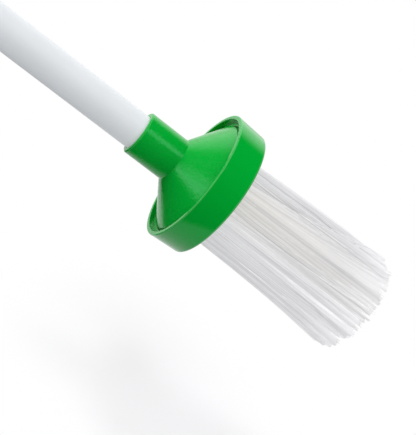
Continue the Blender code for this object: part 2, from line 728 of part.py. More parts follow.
def rod_slider(finish, frame):
    """The block at the rod's back end: a spring collar, a bore for the rod and the trigger's cross pin."""
    front = SLIDER_FRONT_STATION
    back = SLIDER_PIN_STATION - SLIDER_BACK
    body = block(
        "rod_slider",
        (back, -SLIDER_HALF_SIZE, -SLIDER_HALF_SIZE),
        (front - SLIDER_COLLAR_WIDTH / 2, SLIDER_HALF_SIZE, SLIDER_HALF_SIZE),
    )
    bore = ROD_RADIUS + FIT
    collar = [
        (front - SLIDER_COLLAR_WIDTH, bore),
        (front - SLIDER_COLLAR_WIDTH, SLIDER_COLLAR_RADIUS),
        (front, SLIDER_COLLAR_RADIUS),
        (front, bore),
    ]
    pin = cross_pin(
        "pin",
        SLIDER_PIN_RADIUS,
        -TRIGGER_HALF_WIDTH,
        TRIGGER_HALF_WIDTH,
        SLIDER_PIN_STATION,
        0.0,
        PIN_SEGMENTS,
    )
    hole = turned_rod("hole", bore, front - SLIDER_BORE_DEPTH, front + CUT_OVERRUN, SMALL_SEGMENTS)
    data = unite(body, turned("collar", collar, SMALL_SEGMENTS), pin)
    return add_object("rod_slider", cut(data, hole), finish, frame)


def return_spring(finish, frame):
    """A compression spring round the rod, between the back bush and the slider's collar."""
    front = POLE_BACK - FIT - BUSH_FLANGE - FIT - SPRING_WIRE_RADIUS
    back = SLIDER_FRONT_STATION + FIT + SPRING_WIRE_RADIUS
    count = SPRING_TURNS * SPRING_POINTS_PER_TURN
    points = []
    for index in range(count + 1):
        angle = math.tau * index / SPRING_POINTS_PER_TURN
        station = back + (front - back) * index / count
        points.append(Vector((station, SPRING_RADIUS * math.cos(angle), SPRING_RADIUS * math.sin(angle))))
    curve = bpy.data.curves.new("return_spring", "CURVE")
    curve.dimensions = "3D"
    curve.bevel_depth = SPRING_WIRE_RADIUS
    curve.bevel_resolution = 1
    curve.use_fill_caps = True
    spline = curve.splines.new("POLY")
    spline.points.add(len(points) - 1)
    for target, point in zip(spline.points, points):
        target.co = (*point, 1.0)
    least = min(
        (points[i] - points[j]).length
        for i in range(len(points))
        for j in range(i + SPRING_POINTS_PER_TURN // 2 + 1, len(points))
    )
    print("least gap of the spring to itself, mm:", round((least - 2 * SPRING_WIRE_RADIUS) * 1000, 2))
    return add_object("return_spring", curve, finish, frame)


def trigger(finish, frame):
    """The squeeze lever: finger bar, hub round the pin, and a fork that holds the slider's cross pin."""
    lean = TRIGGER_SWING / 2
    pin_distance = TRIGGER_ARM / math.cos(lean)
    slot_half = SLIDER_PIN_RADIUS + FIT
    fork_half = slot_half + FORK_FINGER
    top = pin_distance + FORK_END
    slot_floor = pin_distance - FORK_END

    def on_arm(across, along):
        """A point on the fork, from its place across and along the leaning arm, as (back, up)."""
        back = across * math.cos(lean) + along * math.sin(lean)
        return back, along * math.cos(lean) - across * math.sin(lean)

    rise = UNDERSIDE_DROP - TRIGGER_ARM + LEVER_GAP

    def rest_drop(back):
        """How far the finger bar's top lies below the pin so that the squeezed lever stops at the grip."""
        return (rise + back * math.sin(TRIGGER_SWING)) / math.cos(TRIGGER_SWING)

    middle = (LEVER_NECK + LEVER_REACH) / 2
    shoulder = FORK_SHOULDER_SHARE * TRIGGER_HUB
    corners = [
        (*on_arm(-fork_half, 0.0), 0),
        (*on_arm(-fork_half, top), 0),
        (*on_arm(-slot_half, top), 0),
        (*on_arm(-slot_half, slot_floor), 0),
        (*on_arm(slot_half, slot_floor), 0),
        (*on_arm(slot_half, top), 0),
        (*on_arm(fork_half, top), 0),
        (*on_arm(fork_half, shoulder), 0),
        (LEVER_NECK, -rest_drop(LEVER_NECK), TRIGGER_HUB),
        (LEVER_REACH, -rest_drop(LEVER_REACH), LEVER_TOP_ROUND_SHARE * LEVER_DEPTH),
        (LEVER_REACH, -rest_drop(LEVER_REACH) - LEVER_DEPTH, LEVER_TIP_ROUND_SHARE * LEVER_DEPTH),
        (middle, -rest_drop(middle) - LEVER_DEPTH, LEVER_REACH),
        (LEVER_NECK, -rest_drop(LEVER_NECK) - LEVER_DEPTH, LEVER_NECK),
        (-fork_half, -TRIGGER_HUB, shoulder),
    ]
    outline = [(-point[0], point[1]) for point in rounded(corners)]
    data = plate("trigger", outline, TRIGGER_HALF_WIDTH)
    past_fork = fork_half + top * math.sin(lean) + CUT_OVERRUN
    channel = block(
        "channel",
        (-past_fork, -FORK_GAP_HALF, TRIGGER_HUB + FIT),
        (past_fork, FORK_GAP_HALF, top + CUT_OVERRUN),
    )
    wide = TRIGGER_HALF_WIDTH + CUT_OVERRUN
    bore = cross_pin("bore", TRIGGER_PIN_RADIUS + FIT, -wide, wide, 0.0, 0.0, PIN_SEGMENTS)
    data = cut(data, channel, bore)
    return add_object("trigger", data, finish, frame, (TRIGGER_STATION, 0.0, -TRIGGER_ARM))


def grip_body():
    """The whole grip as one solid, before it is hollowed and split."""
    chin = -(TRIGGER_ARM + TRIGGER_HUB + CHIN_WALL)
    corners = [
        (SHOULDER_SETBACK, SHOULDER_HEIGHT, HANDLE_CORNER_ROUND),
        (CROWN_SETBACK, CROWN_HEIGHT, CROWN_ROUND),
        (PALM_SETBACK, PALM_HEIGHT, CROWN_ROUND),
        (HANDLE_LENGTH, BUTT_HEIGHT, BUTT_ROUND),
        (HANDLE_LENGTH, -BUTT_DROP, BUTT_LOWER_ROUND),
        (HANDLE_LENGTH - HEEL_RAKE, -AXIS_HEIGHT, HEEL_BACK_ROUND),
        (HANDLE_LENGTH - HEEL_RAKE - HEEL_FOOT_LENGTH, -AXIS_HEIGHT, HEEL_FRONT_ROUND),
        (HEEL_THROAT_SETBACK, -UNDERSIDE_DROP, HEEL_THROAT_ROUND),
        (CHIN_BACK_SETBACK + CHIN_SLOPE, -UNDERSIDE_DROP, CHIN_FOOT_ROUND),
        (CHIN_BACK_SETBACK, chin, HANDLE_CORNER_ROUND),
        (CHIN_FRONT_SETBACK, chin, CHIN_FRONT_ROUND),
        (CHIN_FRONT_SETBACK - CHIN_LEAD, -SHOULDER_HEIGHT, HANDLE_CORNER_ROUND),
        (SHOULDER_SETBACK, -SHOULDER_HEIGHT, HANDLE_CORNER_ROUND),
    ]
    outline = [(NOSE_STATION - point[0], point[1]) for point in rounded(corners)]
    body = plate("grip", outline, HANDLE_WIDTH / 2, HANDLE_SIDE_ROUND)
    inner = POLE_RADIUS / 2
    outer = POLE_RADIUS + FIT + NOSE_WALL
    nose = [
        (NOSE_STATION, inner),
        (NOSE_STATION, outer - NOSE_CHAMFER),
        (NOSE_STATION - NOSE_CHAMFER, outer),
        (NOSE_STATION - NOSE_LENGTH + NOSE_CHAMFER, outer),
        (NOSE_STATION - NOSE_LENGTH, outer - NOSE_CHAMFER),
        (NOSE_STATION - NOSE_LENGTH, inner),
    ]
    return unite(body, turned("nose", nose, POLE_SEGMENTS))


def grip_hollows():
    """What is taken out of the grip: seats for the pole and spring, the trigger's room, a core and the eye."""
    flange_seat = POLE_BACK - FIT - BUSH_FLANGE - FIT
    room_front = TRIGGER_STATION + TRIGGER_CHAMBER_FRONT
    room_back = TRIGGER_STATION - TRIGGER_CHAMBER_BACK
    room_half = TRIGGER_HALF_WIDTH + RUNNING_FIT
    below = -AXIS_HEIGHT
    core_half = HANDLE_WIDTH / 2 - GRIP_SIDE_WALL
    eye_half = HANDLE_WIDTH / 2 + CUT_OVERRUN
    core = [
        (PALM_CAVITY_SETBACK, PALM_HEIGHT - GRIP_SIDE_WALL, HANDLE_CORNER_ROUND),
        (PALM_SETBACK, PALM_HEIGHT - GRIP_WALL, CROWN_ROUND),
        (HANDLE_LENGTH - BUTT_WALL, -FIT, HANDLE_CORNER_ROUND),
        (HANDLE_LENGTH - BUTT_WALL, -CAVITY_FLOOR_DROP, HANDLE_CORNER_ROUND),
        (EYE_SETBACK - EYE_RADIUS, -CAVITY_FLOOR_DROP, HANDLE_CORNER_ROUND),
        (HEEL_THROAT_SETBACK, GRIP_WALL - UNDERSIDE_DROP, HANDLE_CORNER_ROUND),
        (PALM_CAVITY_SETBACK, GRIP_WALL - UNDERSIDE_DROP, HANDLE_CORNER_ROUND),
    ]
    outline = [(NOSE_STATION - point[0], point[1]) for point in rounded(core)]
    slot_back = TRIGGER_STATION - LEVER_SLOT_BACK
    slot_top = LEVER_GAP - UNDERSIDE_DROP
    pin_half = TRIGGER_PIN_HALF_LENGTH + FIT
    pin_bore = TRIGGER_PIN_RADIUS + FIT
    return [
        turned_rod("seat", SLEEVE_BORE, flange_seat, NOSE_STATION + CUT_OVERRUN, POLE_SEGMENTS),
        turned_rod("chamber", SPRING_CHAMBER_RADIUS, room_front - FIT, flange_seat + FIT, SMALL_SEGMENTS),
        block("room", (room_back, -room_half, below), (room_front, room_half, TRIGGER_CHAMBER_TOP)),
        block("slot", (slot_back, -room_half, below), (room_front - FIT, room_half, slot_top)),
        plate("core", outline, core_half),
        cross_pin("pin", pin_bore, -pin_half, pin_half, TRIGGER_STATION, -TRIGGER_ARM, PIN_SEGMENTS),
        cross_pin(
            "eye", EYE_RADIUS, -eye_half, eye_half, NOSE_STATION - EYE_SETBACK, -EYE_DROP, SMALL_SEGMENTS
        ),
    ]


def screw_places():
    """Station and height of each screw through the grip."""
    return [(NOSE_STATION - back, height) for back, height in zip(SCREW_SETBACKS, SCREW_HEIGHTS)]


def grip_halves(finish, frame):
    """Left and right halves, split on the part's middle plane, with the screws' holes."""
    solid = cut(grip_body(), *grip_hollows())
    side = HANDLE_WIDTH / 2
    head_floor = -side + SCREW_SINK + SCREW_HEAD_DEPTH + FIT
    for station, height in screw_places():
        bore = SCREW_SHANK_RADIUS + FIT
        hole = cross_pin("hole", bore, head_floor - FIT, SCREW_BITE + FIT, station, height, PIN_SEGMENTS)
        sink_radius = SCREW_HEAD_RADIUS + FIT
        sink = cross_pin("sink", sink_radius, -side - CUT_OVERRUN, head_floor, station, height, PIN_SEGMENTS)
        solid = cut(solid, hole, sink)
    for name, sign in (("handle_left", 1), ("handle_right", -1)):
        near = sign * FIT / 2
        far = -sign * HANDLE_WIDTH
        low = (BUTT_STATION - CUT_OVERRUN, min(near, far), -AXIS_HEIGHT - CUT_OVERRUN)
        high = (NOSE_STATION + CUT_OVERRUN, max(near, far), AXIS_HEIGHT)
        half = cut(solid, block("other_side", low, high))
        half.name = name
        add_object(name, half, finish, frame)


def grip_fasteners(finish, frame):
    """The trigger's pin and the screws that hold the halves together."""
    pin = cross_pin(
        "trigger_pin",
        TRIGGER_PIN_RADIUS,
        -TRIGGER_PIN_HALF_LENGTH,
        TRIGGER_PIN_HALF_LENGTH,
        0.0,
        0.0,
        PIN_SEGMENTS,
    )
    add_object("trigger_pin", pin, finish, frame, (TRIGGER_STATION, 0.0, -TRIGGER_ARM))
    head_back = -HANDLE_WIDTH / 2 + SCREW_SINK
    head_front = head_back + SCREW_HEAD_DEPTH
    overlap = SCREW_HEAD_DEPTH / 2
    for index, (station, height) in enumerate(screw_places()):
        shank = cross_pin(
            "shank", SCREW_SHANK_RADIUS, head_front - overlap, SCREW_BITE, 0.0, 0.0, PIN_SEGMENTS
        )
        head = cross_pin("head", SCREW_HEAD_RADIUS, head_back, head_front, 0.0, 0.0, PIN_SEGMENTS)
        name = f"handle_screw_{index + 1}"
        add_object(name, unite(head, shank), finish, frame, (station, 0.0, height))


def main():
    """Build the whole part about the pole's axis, lying level with its ring and heel on the ground."""
    clear_scene()
    green = material("green_plastic", (0.0, 0.33, 0.03), 0.35)
    white = material("white_pole", (0.82, 0.84, 0.86), 0.35)
    nylon = material("nylon_bristle", (0.85, 0.85, 0.84), 0.35, transmission=0.3)
    grey = material("grey_plastic", (0.30, 0.31, 0.32), 0.45)
    steel = material("steel", (0.62, 0.62, 0.62), 0.30, metallic=1.0)
    frame = empty("pole_axis", (CENTRE_SHIFT, 0.0, AXIS_HEIGHT))
    pole(white, frame)
    head_housing(green, frame)
    retaining_ring(green, frame)
    pivot_carrier(grey, frame)
    bristle_cups(grey, nylon, frame)
    plunger(grey, frame)
    push_rod(steel, frame)
    rod_bush("front_bush", POLE_FRONT, 1, grey, frame)
    rod_bush("back_bush", POLE_BACK, -1, grey, frame)
    rod_slider(grey, frame)
    return_spring(steel, frame)
    trigger(green, frame)
    grip_halves(green, frame)
    grip_fasteners(steel, frame)
    print("centre shift", round(CENTRE_SHIFT, 6), "rod travel", round(ROD_TRAVEL, 6))
    print("trigger arm", round(TRIGGER_ARM, 6))


main()
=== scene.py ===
# %% [markdown]
# # An insect catcher with a brush that opens
#
# The tool is a white pole with a green funnel at its front end. A dense round brush of clear nylon stands in
# the funnel. A lever in the grip pushes a rod through the pole, and eight cups of bristles swing open like
# petals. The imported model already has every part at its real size. This script gives the parts their fine
# surfaces and finishes, sets up the studio and places the camera where the photograph was taken from.

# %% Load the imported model
import math

import bmesh
import bpy
import numpy as np
from mathutils import Matrix, Vector


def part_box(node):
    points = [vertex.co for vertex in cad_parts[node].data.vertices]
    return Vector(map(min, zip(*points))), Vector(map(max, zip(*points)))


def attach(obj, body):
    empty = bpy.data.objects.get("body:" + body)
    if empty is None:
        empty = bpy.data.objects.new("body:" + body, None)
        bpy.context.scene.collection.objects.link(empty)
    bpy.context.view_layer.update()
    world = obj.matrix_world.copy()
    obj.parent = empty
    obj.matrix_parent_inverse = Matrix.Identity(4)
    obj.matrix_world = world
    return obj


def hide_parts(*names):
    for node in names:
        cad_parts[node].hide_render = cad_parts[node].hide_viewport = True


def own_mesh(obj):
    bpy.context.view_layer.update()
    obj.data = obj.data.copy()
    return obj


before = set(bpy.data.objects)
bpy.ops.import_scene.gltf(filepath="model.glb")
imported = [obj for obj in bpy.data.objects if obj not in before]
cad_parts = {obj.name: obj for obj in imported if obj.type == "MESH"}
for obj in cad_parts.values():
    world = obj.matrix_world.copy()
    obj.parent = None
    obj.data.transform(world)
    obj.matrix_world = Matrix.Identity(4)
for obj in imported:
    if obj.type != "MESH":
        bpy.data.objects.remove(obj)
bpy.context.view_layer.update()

# %% [markdown]
# ## Where things are
#
# The pole lies along X. Its axis and the funnel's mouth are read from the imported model, so that each new
# surface lies where the part is. Along the pole, a station is a distance in front of the funnel's mouth.

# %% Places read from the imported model
pole_low, pole_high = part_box("pole")
head_low, head_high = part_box("head_housing")
ring_low, ring_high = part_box("retaining_ring")
AXIS_Z = (pole_low.z + pole_high.z) / 2
MOUTH_X = head_low.x
POLE_RADIUS = (pole_high.z - pole_low.z) / 2
RING_BACK = ring_low.x - MOUTH_X
RING_FRONT = ring_high.x - MOUTH_X
FLANGE_FRONT = head_high.x - MOUTH_X
print("axis height, mm:", round(AXIS_Z * 1000, 2), "mouth at x, mm:", round(MOUTH_X * 1000, 2))

# %% [markdown]
# ## The camera
#
# The photograph was taken with a moderate telephoto lens. The pole's direction in the picture and the sizes
# of the ring's two edges give the lens and the tool's turn. The view is written as four facts: the focal length
# in pixels, the place of the funnel's mouth before the lens, the pole's direction and which way is up.

# %% Camera
IMAGE_WIDTH = 416
FOCAL_PIXELS = 900.0
SENSOR_WIDTH = 36.0
MOUTH_BEFORE_LENS = np.array([-0.0402, -0.0490, 0.5164])
POLE_DIRECTION = np.array([0.7585, 0.5726, 0.3112])
UP_TURN = math.radians(59)


def view_axes():
    """World X, Y and Z in the lens's own right, down and forward. Up is turned about the pole from the side
    that faces the lens by UP_TURN: up = cos(turn) * toward + sin(turn) * across."""
    along = POLE_DIRECTION / np.linalg.norm(POLE_DIRECTION)
    toward = along * along[2] - np.array([0.0, 0.0, 1.0])
    toward /= np.linalg.norm(toward)
    across = np.cross(toward, along)
    up = math.cos(UP_TURN) * toward + math.sin(UP_TURN) * across
    return np.array([along, np.cross(up, along), up])


world_from_view = view_axes()
mouth = np.array([MOUTH_X, 0.0, AXIS_Z])
lens_place = mouth - world_from_view @ MOUTH_BEFORE_LENS
turned_axes = world_from_view @ np.diag([1.0, -1.0, -1.0])
camera_data = bpy.data.cameras.new("photo_camera")
camera_data.sensor_fit = "HORIZONTAL"
camera_data.sensor_width = SENSOR_WIDTH
camera_data.lens = FOCAL_PIXELS / IMAGE_WIDTH * SENSOR_WIDTH
camera = bpy.data.objects.new("photo_camera", camera_data)
camera.matrix_world = Matrix.Translation(Vector(lens_place)) @ Matrix(turned_axes.tolist()).to_4x4()
bpy.context.scene.collection.objects.link(camera)
bpy.context.scene.camera = camera
print("lens at, m:", np.round(lens_place, 3))


def from_view(right, down, forward):
    """A world point given as the lens sees it, measured from the funnel's mouth."""
    return Vector(mouth + world_from_view @ np.array([right, down, forward]))


# %% [markdown]
# ## Surfaces from arrays
#
# Most pieces of this tool are turned or moulded, so each is a grid of points: one parameter runs round the
# piece and the other along its outline. Computing the whole grid at once with numpy is short and exact, and the
# outline can be read in the code as a row of real sizes.

# %% Mesh helpers
SMOOTH_LIMIT = math.radians(32)


def grid_faces(rows, columns, wrap_rows, wrap_columns):
    """Quads of a grid whose vertex (i, j) has the number i * columns + j."""
    i = np.arange(rows if wrap_rows else rows - 1)[:, None]
    j = np.arange(columns if wrap_columns else columns - 1)[None, :]
    down, right = (i + 1) % rows, (j + 1) % columns
    corners = [i * columns + j, i * columns + right, down * columns + right, down * columns + j]
    return np.stack(np.broadcast_arrays(*corners), axis=-1).reshape(-1, 4)


def signed_volume(points, faces):
    """Volume inside the faces, from the tetrahedra that each makes with the origin."""
    total = 0.0
    for face in faces:
        a = points[face[:, 0]]
        for k in range(1, face.shape[1] - 1):
            total += np.einsum("ij,ij->", a, np.cross(points[face[:, k]], points[face[:, k + 1]])) / 6
    return total


def mesh_piece(name, points, faces):
    """An object from an (n, 3) array of points and arrays of faces with equal corner counts. Faces end up
    pointing out."""
    points = np.asarray(points, dtype=float).reshape(-1, 3)
    if signed_volume(points, faces) < 0:
        faces = [face[:, ::-1] for face in faces]
    data = bpy.data.meshes.new(name)
    data.vertices.add(len(points))
    data.vertices.foreach_set("co", points.astype(np.float32).ravel())
    loops = np.concatenate([face.ravel() for face in faces]).astype(np.int32)
    counts = np.concatenate([np.full(len(face), face.shape[1]) for face in faces])
    data.loops.add(len(loops))
    data.loops.foreach_set("vertex_index", loops)
    data.polygons.add(len(counts))
    data.polygons.foreach_set("loop_start", np.concatenate([[0], np.cumsum(counts)[:-1]]).astype(np.int32))
    data.update(calc_edges=True)
    data.validate()
    data.shade_smooth()
    data.set_sharp_from_angle(angle=SMOOTH_LIMIT)
    piece = bpy.data.objects.new(name, data)
    bpy.context.scene.collection.objects.link(piece)
    return piece


# %% Turned pieces
ARC_STEPS = 6
EDGE_FADE = 0.00008


def rounded_outline(corners):
    """Outline points (station, radius, edge) from corners (station, radius, round). A round of zero keeps the
    corner sharp. An arc's points are centre + round * (cos, sin), swept between the two tangent points. Edge
    is 1 on an arc that stands proud and 0 elsewhere, with a point just past each end of an arc, so that it
    fades there. An arc stands proud where the outline turns the way it turns as a whole."""
    # The edge value marks where the plastic finishes paint a lighter edge, a painted highlight.
    corners = np.asarray(corners, dtype=float)
    places = corners[:, :2]
    following = np.roll(places, -1, axis=0)
    whole_turn = np.sum(places[:, 0] * following[:, 1] - places[:, 1] * following[:, 0])
    outline = []
    for index, (station, radius, bend) in enumerate(corners):
        here = np.array([station, radius])
        if bend == 0:
            outline.append([[station, radius, 0.0]])
            continue
        back = places[index - 1] - here
        ahead = places[(index + 1) % len(places)] - here
        back, ahead = back / np.linalg.norm(back), ahead / np.linalg.norm(ahead)
        half = math.acos(np.clip(back @ ahead, -1, 1)) / 2
        middle = (back + ahead) / np.linalg.norm(back + ahead)
        centre = here + middle * bend / math.sin(half)
        start = here + back * bend / math.tan(half) - centre
        end = here + ahead * bend / math.tan(half) - centre
        share = np.linspace(0, 1, ARC_STEPS + 1)[:, None]
        chord = start * (1 - share) + end * share
        arc = centre + chord / np.linalg.norm(chord, axis=1, keepdims=True) * bend
        outline.append([[*(arc[0] + back * EDGE_FADE), 0.0]])
        own_turn = ahead[0] * back[1] - ahead[1] * back[0]
        proud = 1.0 if own_turn * whole_turn > 0 else 0.0
        outline.append(np.column_stack([arc, np.full(ARC_STEPS + 1, proud)]))
        outline.append([[*(arc[-1] + ahead * EDGE_FADE), 0.0]])
    return np.concatenate(outline)


def turned_surface(name, outline, segments):
    """A closed outline of (station, radius, edge) turned about the pole: (x, r sin a, axis + r cos a)."""
    outline = np.asarray(outline, dtype=float)
    angle = np.arange(segments) * math.tau / segments
    x = np.broadcast_to(MOUTH_X + outline[:, :1], (len(outline), segments))
    y = outline[:, 1:2] * np.sin(angle)
    z = AXIS_Z + outline[:, 1:2] * np.cos(angle)
    points = np.stack([x, y, z], axis=-1)
    piece = mesh_piece(name, points, [grid_faces(len(outline), segments, True, True)])
    # The edge attribute tells the finish where to paint a highlight on proud rounded edges.
    edge = piece.data.attributes.new("edge", "FLOAT", "POINT")
    edge.data.foreach_set("value", np.repeat(outline[:, 2], segments).astype(np.float32))
    return piece


def dress(piece, finish, body, slot, *nodes):
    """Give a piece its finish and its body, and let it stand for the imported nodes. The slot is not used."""
    piece.data.materials.clear()
    piece.data.materials.append(finish)
    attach(piece, body)
    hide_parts(*nodes)
    return piece


# %% [markdown]
# ## Moulded plastic
#
# The green shell is a satin plastic. Its mould was lightly blasted, so a highlight breaks up into a soft mottle,
# and the colour changes very little from place to place. Its proud rounded edges are painted a little lighter,
# a painted highlight where the rounding catches light. The ring comes from a smoother mould and mirrors the room
# more sharply. One group makes the grain, the mottle and the painted edge highlights, from the object's own
# coordinates and the edge attribute of the turned pieces, and every plastic finish uses it with its own values.
# The few kinds of node that all finishes need are each wrapped in a short helper first.

# %% Finishes: node helpers
UNIT = (0.0, 1.0)


def node_at(tree, kind, place, **settings):
    """A new node at a place in the editor, with its own settings."""
    made = tree.nodes.new(kind)
    made.location = place
    for label, value in settings.items():
        setattr(made, label, value)
    return made


def feed(tree, node, values):
    """Fill a node's inputs: an output is linked, and anything else is set as it is."""
    for label, value in values.items():
        if isinstance(value, bpy.types.NodeSocket):
            tree.links.new(value, node.inputs[label])
        else:
            node.inputs[label].default_value = value
    return node


def calculated(tree, place, operation, *values):
    """The result of a Math node."""
    made = node_at(tree, "ShaderNodeMath", place, operation=operation)
    return feed(tree, made, dict(enumerate(values))).outputs[0]


def ranged(tree, place, value, bounds, results, easing="LINEAR"):
    """The value's way from one bound to the other, as the same share of the way between the results."""
    made = node_at(tree, "ShaderNodeMapRange", place, interpolation_type=easing)
    limits = dict(zip(("From Min", "From Max", "To Min", "To Max"), (*bounds, *results)))
    return feed(tree, made, {"Value": value, **limits}).outputs["Result"]


def mixed(tree, place, kind, share, first, second):
    """first * (1 - share) + second * share, of colours (RGBA) or numbers (FLOAT)."""
    made = node_at(tree, "ShaderNodeMix", place, data_type=kind)
    return feed(tree, made, {"Factor": share, "A": first, "B": second}).outputs["Result"]


def noise(tree, place, where, scale, detail):
    """Soft random values from 0 to 1 over the coordinates in where."""
    made = node_at(tree, "ShaderNodeTexNoise", place)
    return feed(tree, made, {"Vector": where, "Scale": scale, "Detail": detail}).outputs["Fac"]


def bumped(tree, place, height, strength, distance):
    """A normal that leans with the slope of the height."""
    made = node_at(tree, "ShaderNodeBump", place)
    return feed(tree, made, {"Height": height, "Strength": strength, "Distance": distance}).outputs["Normal"]


def recoloured(tree, place, colour, value):
    """The colour with its brightness times value."""
    made = node_at(tree, "ShaderNodeHueSaturation", place)
    return feed(tree, made, {"Color": colour, "Value": value}).outputs["Color"]


def mesh_value(tree, place, label):
    """A number that the mesh carries at each of its points."""
    return node_at(tree, "ShaderNodeAttribute", place, attribute_name=label).outputs["Fac"]


def new_finish(name):
    """A material, its node tree and its Principled shader."""
    finish = bpy.data.materials.new(name)
    finish.use_nodes = True
    return finish, finish.node_tree, finish.node_tree.nodes["Principled BSDF"]


# %% Finishes: the moulded skin group
GRAIN_DISTANCE = 0.00022
GRAIN_DETAIL = 3.0
FLOW_SCALE = 60.0
FLOW_DETAIL = 4.0
PATCH_BOUNDS = (0.45, 0.62)
PATCH_DEPTHS = (0.7, 1.2)
NOISE_MIDDLE = 0.5


def moulded_skin_group():
    """Colour, roughness and normal of a moulded skin: fine blasted grain, and slow flow mottling.

    Roughness = given + mottle * (flow - middle) + speckle * (grain - middle), and the colour's brightness is
    1 + mottle * (flow - middle). On proud rounded edges the colour is mixed toward the edge colour, a painted
    highlight.
    """
    tree = bpy.data.node_groups.new("moulded_skin", "ShaderNodeTree")
    inputs = {
        "Colour": "Color",
        "Grain Scale": "Float",
        "Grain Depth": "Float",
        "Roughness": "Float",
        "Mottle": "Float",
        "Speckle": "Float",
        "Painted Edge Highlight": "Color",
    }
    for name, kind in inputs.items():
        tree.interface.new_socket(name, in_out="INPUT", socket_type=f"NodeSocket{kind}")
    for name, kind in {"Colour": "Color", "Roughness": "Float", "Normal": "Vector"}.items():
        tree.interface.new_socket(name, in_out="OUTPUT", socket_type=f"NodeSocket{kind}")
    taken = node_at(tree, "NodeGroupInput", (-900, 0)).outputs
    given = node_at(tree, "NodeGroupOutput", (600, 0))
    place = node_at(tree, "ShaderNodeTexCoord", (-1100, -300)).outputs["Object"]
    grain = noise(tree, (-600, -300), place, taken["Grain Scale"], GRAIN_DETAIL)
    flow = noise(tree, (-600, 100), place, FLOW_SCALE, FLOW_DETAIL)
    patches = ranged(tree, (-300, -100), flow, PATCH_BOUNDS, PATCH_DEPTHS, "SMOOTHSTEP")
    depth = calculated(tree, (0, -200), "MULTIPLY", taken["Grain Depth"], patches)
    flowing = calculated(tree, (-300, 100), "SUBTRACT", flow, NOISE_MIDDLE)
    mottle = calculated(tree, (-100, 100), "MULTIPLY", flowing, taken["Mottle"])
    rough = calculated(tree, (200, -50), "ADD", mottle, taken["Roughness"])
    speck = calculated(tree, (-100, -450), "SUBTRACT", grain, NOISE_MIDDLE)
    bright = calculated(tree, (100, 150), "ADD", mottle, 1.0)
    # Painted highlight: the colour is mixed toward a lighter edge colour where the edge attribute marks a proud
    # rounded edge.
    edge = mesh_value(tree, (-300, 400), "edge")
    painted_edge_highlight = mixed(tree, (0, 400), "RGBA", edge, taken["Colour"], taken["Painted Edge Highlight"])
    feed(tree, given, {
        "Colour": recoloured(tree, (300, 200), painted_edge_highlight, bright),
        "Roughness": calculated(tree, (400, -50), "MULTIPLY_ADD", speck, taken["Speckle"], rough),
        "Normal": bumped(tree, (200, -300), grain, depth, GRAIN_DISTANCE),
    })
    return tree


MOULDED_SKIN = moulded_skin_group()
print("skin group nodes:", len(MOULDED_SKIN.nodes))

# %% Finishes: the plastics of this tool
PLASTIC_IOR = 1.45
SHELL_GREEN = (0.0, 0.42, 0.035)
# Painted edge highlight: a lighter green mixed onto proud rounded edges.
PAINTED_EDGE_HIGHLIGHT_GREEN = (0.06, 0.48, 0.10)
GREEN_TINT = (0.45, 1.0, 0.8)
POLE_WHITE = (0.56, 0.58, 0.60)
# A painted glow on the pole, sent out as emission.
POLE_PAINTED_GLOW = 0.45
MECHANISM_GREY = (0.28, 0.29, 0.30)
# Painted edge highlight: a lighter grey mixed onto proud rounded edges.
PAINTED_EDGE_HIGHLIGHT_GREY = (0.36, 0.37, 0.38)
NO_TINT = (1.0, 1.0, 1.0)


def plastic(name, colour, edge, roughness, grain_scale, grain_depth, mottle, speckle=0.0, tint=NO_TINT, glow=0.0):
    """A Principled plastic whose colour, roughness and normal come from the moulded skin. Glow is a painted glow:
    the colour sent out as emission, which stands for the light that travels inside a translucent one."""
    finish, tree, shader = new_finish(name)
    skin = node_at(tree, "ShaderNodeGroup", (-300, 200), node_tree=MOULDED_SKIN)
    feed(tree, skin, {
        "Colour": (*colour, 1.0),
        "Painted Edge Highlight": (*edge, 1.0),
        "Roughness": roughness,
        "Grain Scale": grain_scale,
        "Grain Depth": grain_depth,
        "Mottle": mottle,
        "Speckle": speckle,
    })
    feed(tree, shader, {
        "Base Color": skin.outputs["Colour"],
        "Roughness": skin.outputs["Roughness"],
        "Normal": skin.outputs["Normal"],
        "IOR": PLASTIC_IOR,
        "Specular Tint": (*tint, 1.0),
        "Emission Color": skin.outputs["Colour"],
        "Emission Strength": glow,
    })
    return finish


GREEN = plastic(
    "green_shell", SHELL_GREEN, PAINTED_EDGE_HIGHLIGHT_GREEN,
    roughness=0.16, grain_scale=700.0, grain_depth=0.55, mottle=0.10, speckle=0.5, tint=GREEN_TINT,
)
GREEN_BAND = plastic(
    "green_band", SHELL_GREEN, PAINTED_EDGE_HIGHLIGHT_GREEN,
    roughness=0.05, grain_scale=900.0, grain_depth=0.06, mottle=0.04, tint=GREEN_TINT,
)
# The white tube's glow is painted light, an emission that lifts its shaded side as well as its lit one.
WHITE = plastic(
    "white_tube", POLE_WHITE, POLE_WHITE,
    roughness=0.50, grain_scale=700.0, grain_depth=0.10, mottle=0.04, glow=POLE_PAINTED_GLOW,
)
GREY = plastic(
    "grey_mechanism", MECHANISM_GREY, PAINTED_EDGE_HIGHLIGHT_GREY,
    roughness=0.50, grain_scale=900.0, grain_depth=0.40, mottle=0.12,
)
print("plastic finishes:", GREEN.name, GREEN_BAND.name, WHITE.name, GREY.name)

# %% [markdown]
# ## Drawn steel
#
# The rod, its nut, the spring, the pin and the screws are bright drawn steel. Drawing leaves fine lines along
# the wire, so the noise that drives roughness is stretched by a Mapping node. The studio's lamps aren't
# mirrored, and a share of plain grey under the metal stands for their broad highlights.

# %% Finishes: steel
METAL_SHARE = 0.6
LINE_STRETCH = (60.0, 2500.0, 2500.0)
LINE_DETAIL = 4.0
LINE_STRENGTH = 0.25
LINE_HEIGHT = 0.0001
STEEL_ROUGHNESS = (0.18, 0.42)
STEEL_TONE = (0.50, 0.68)


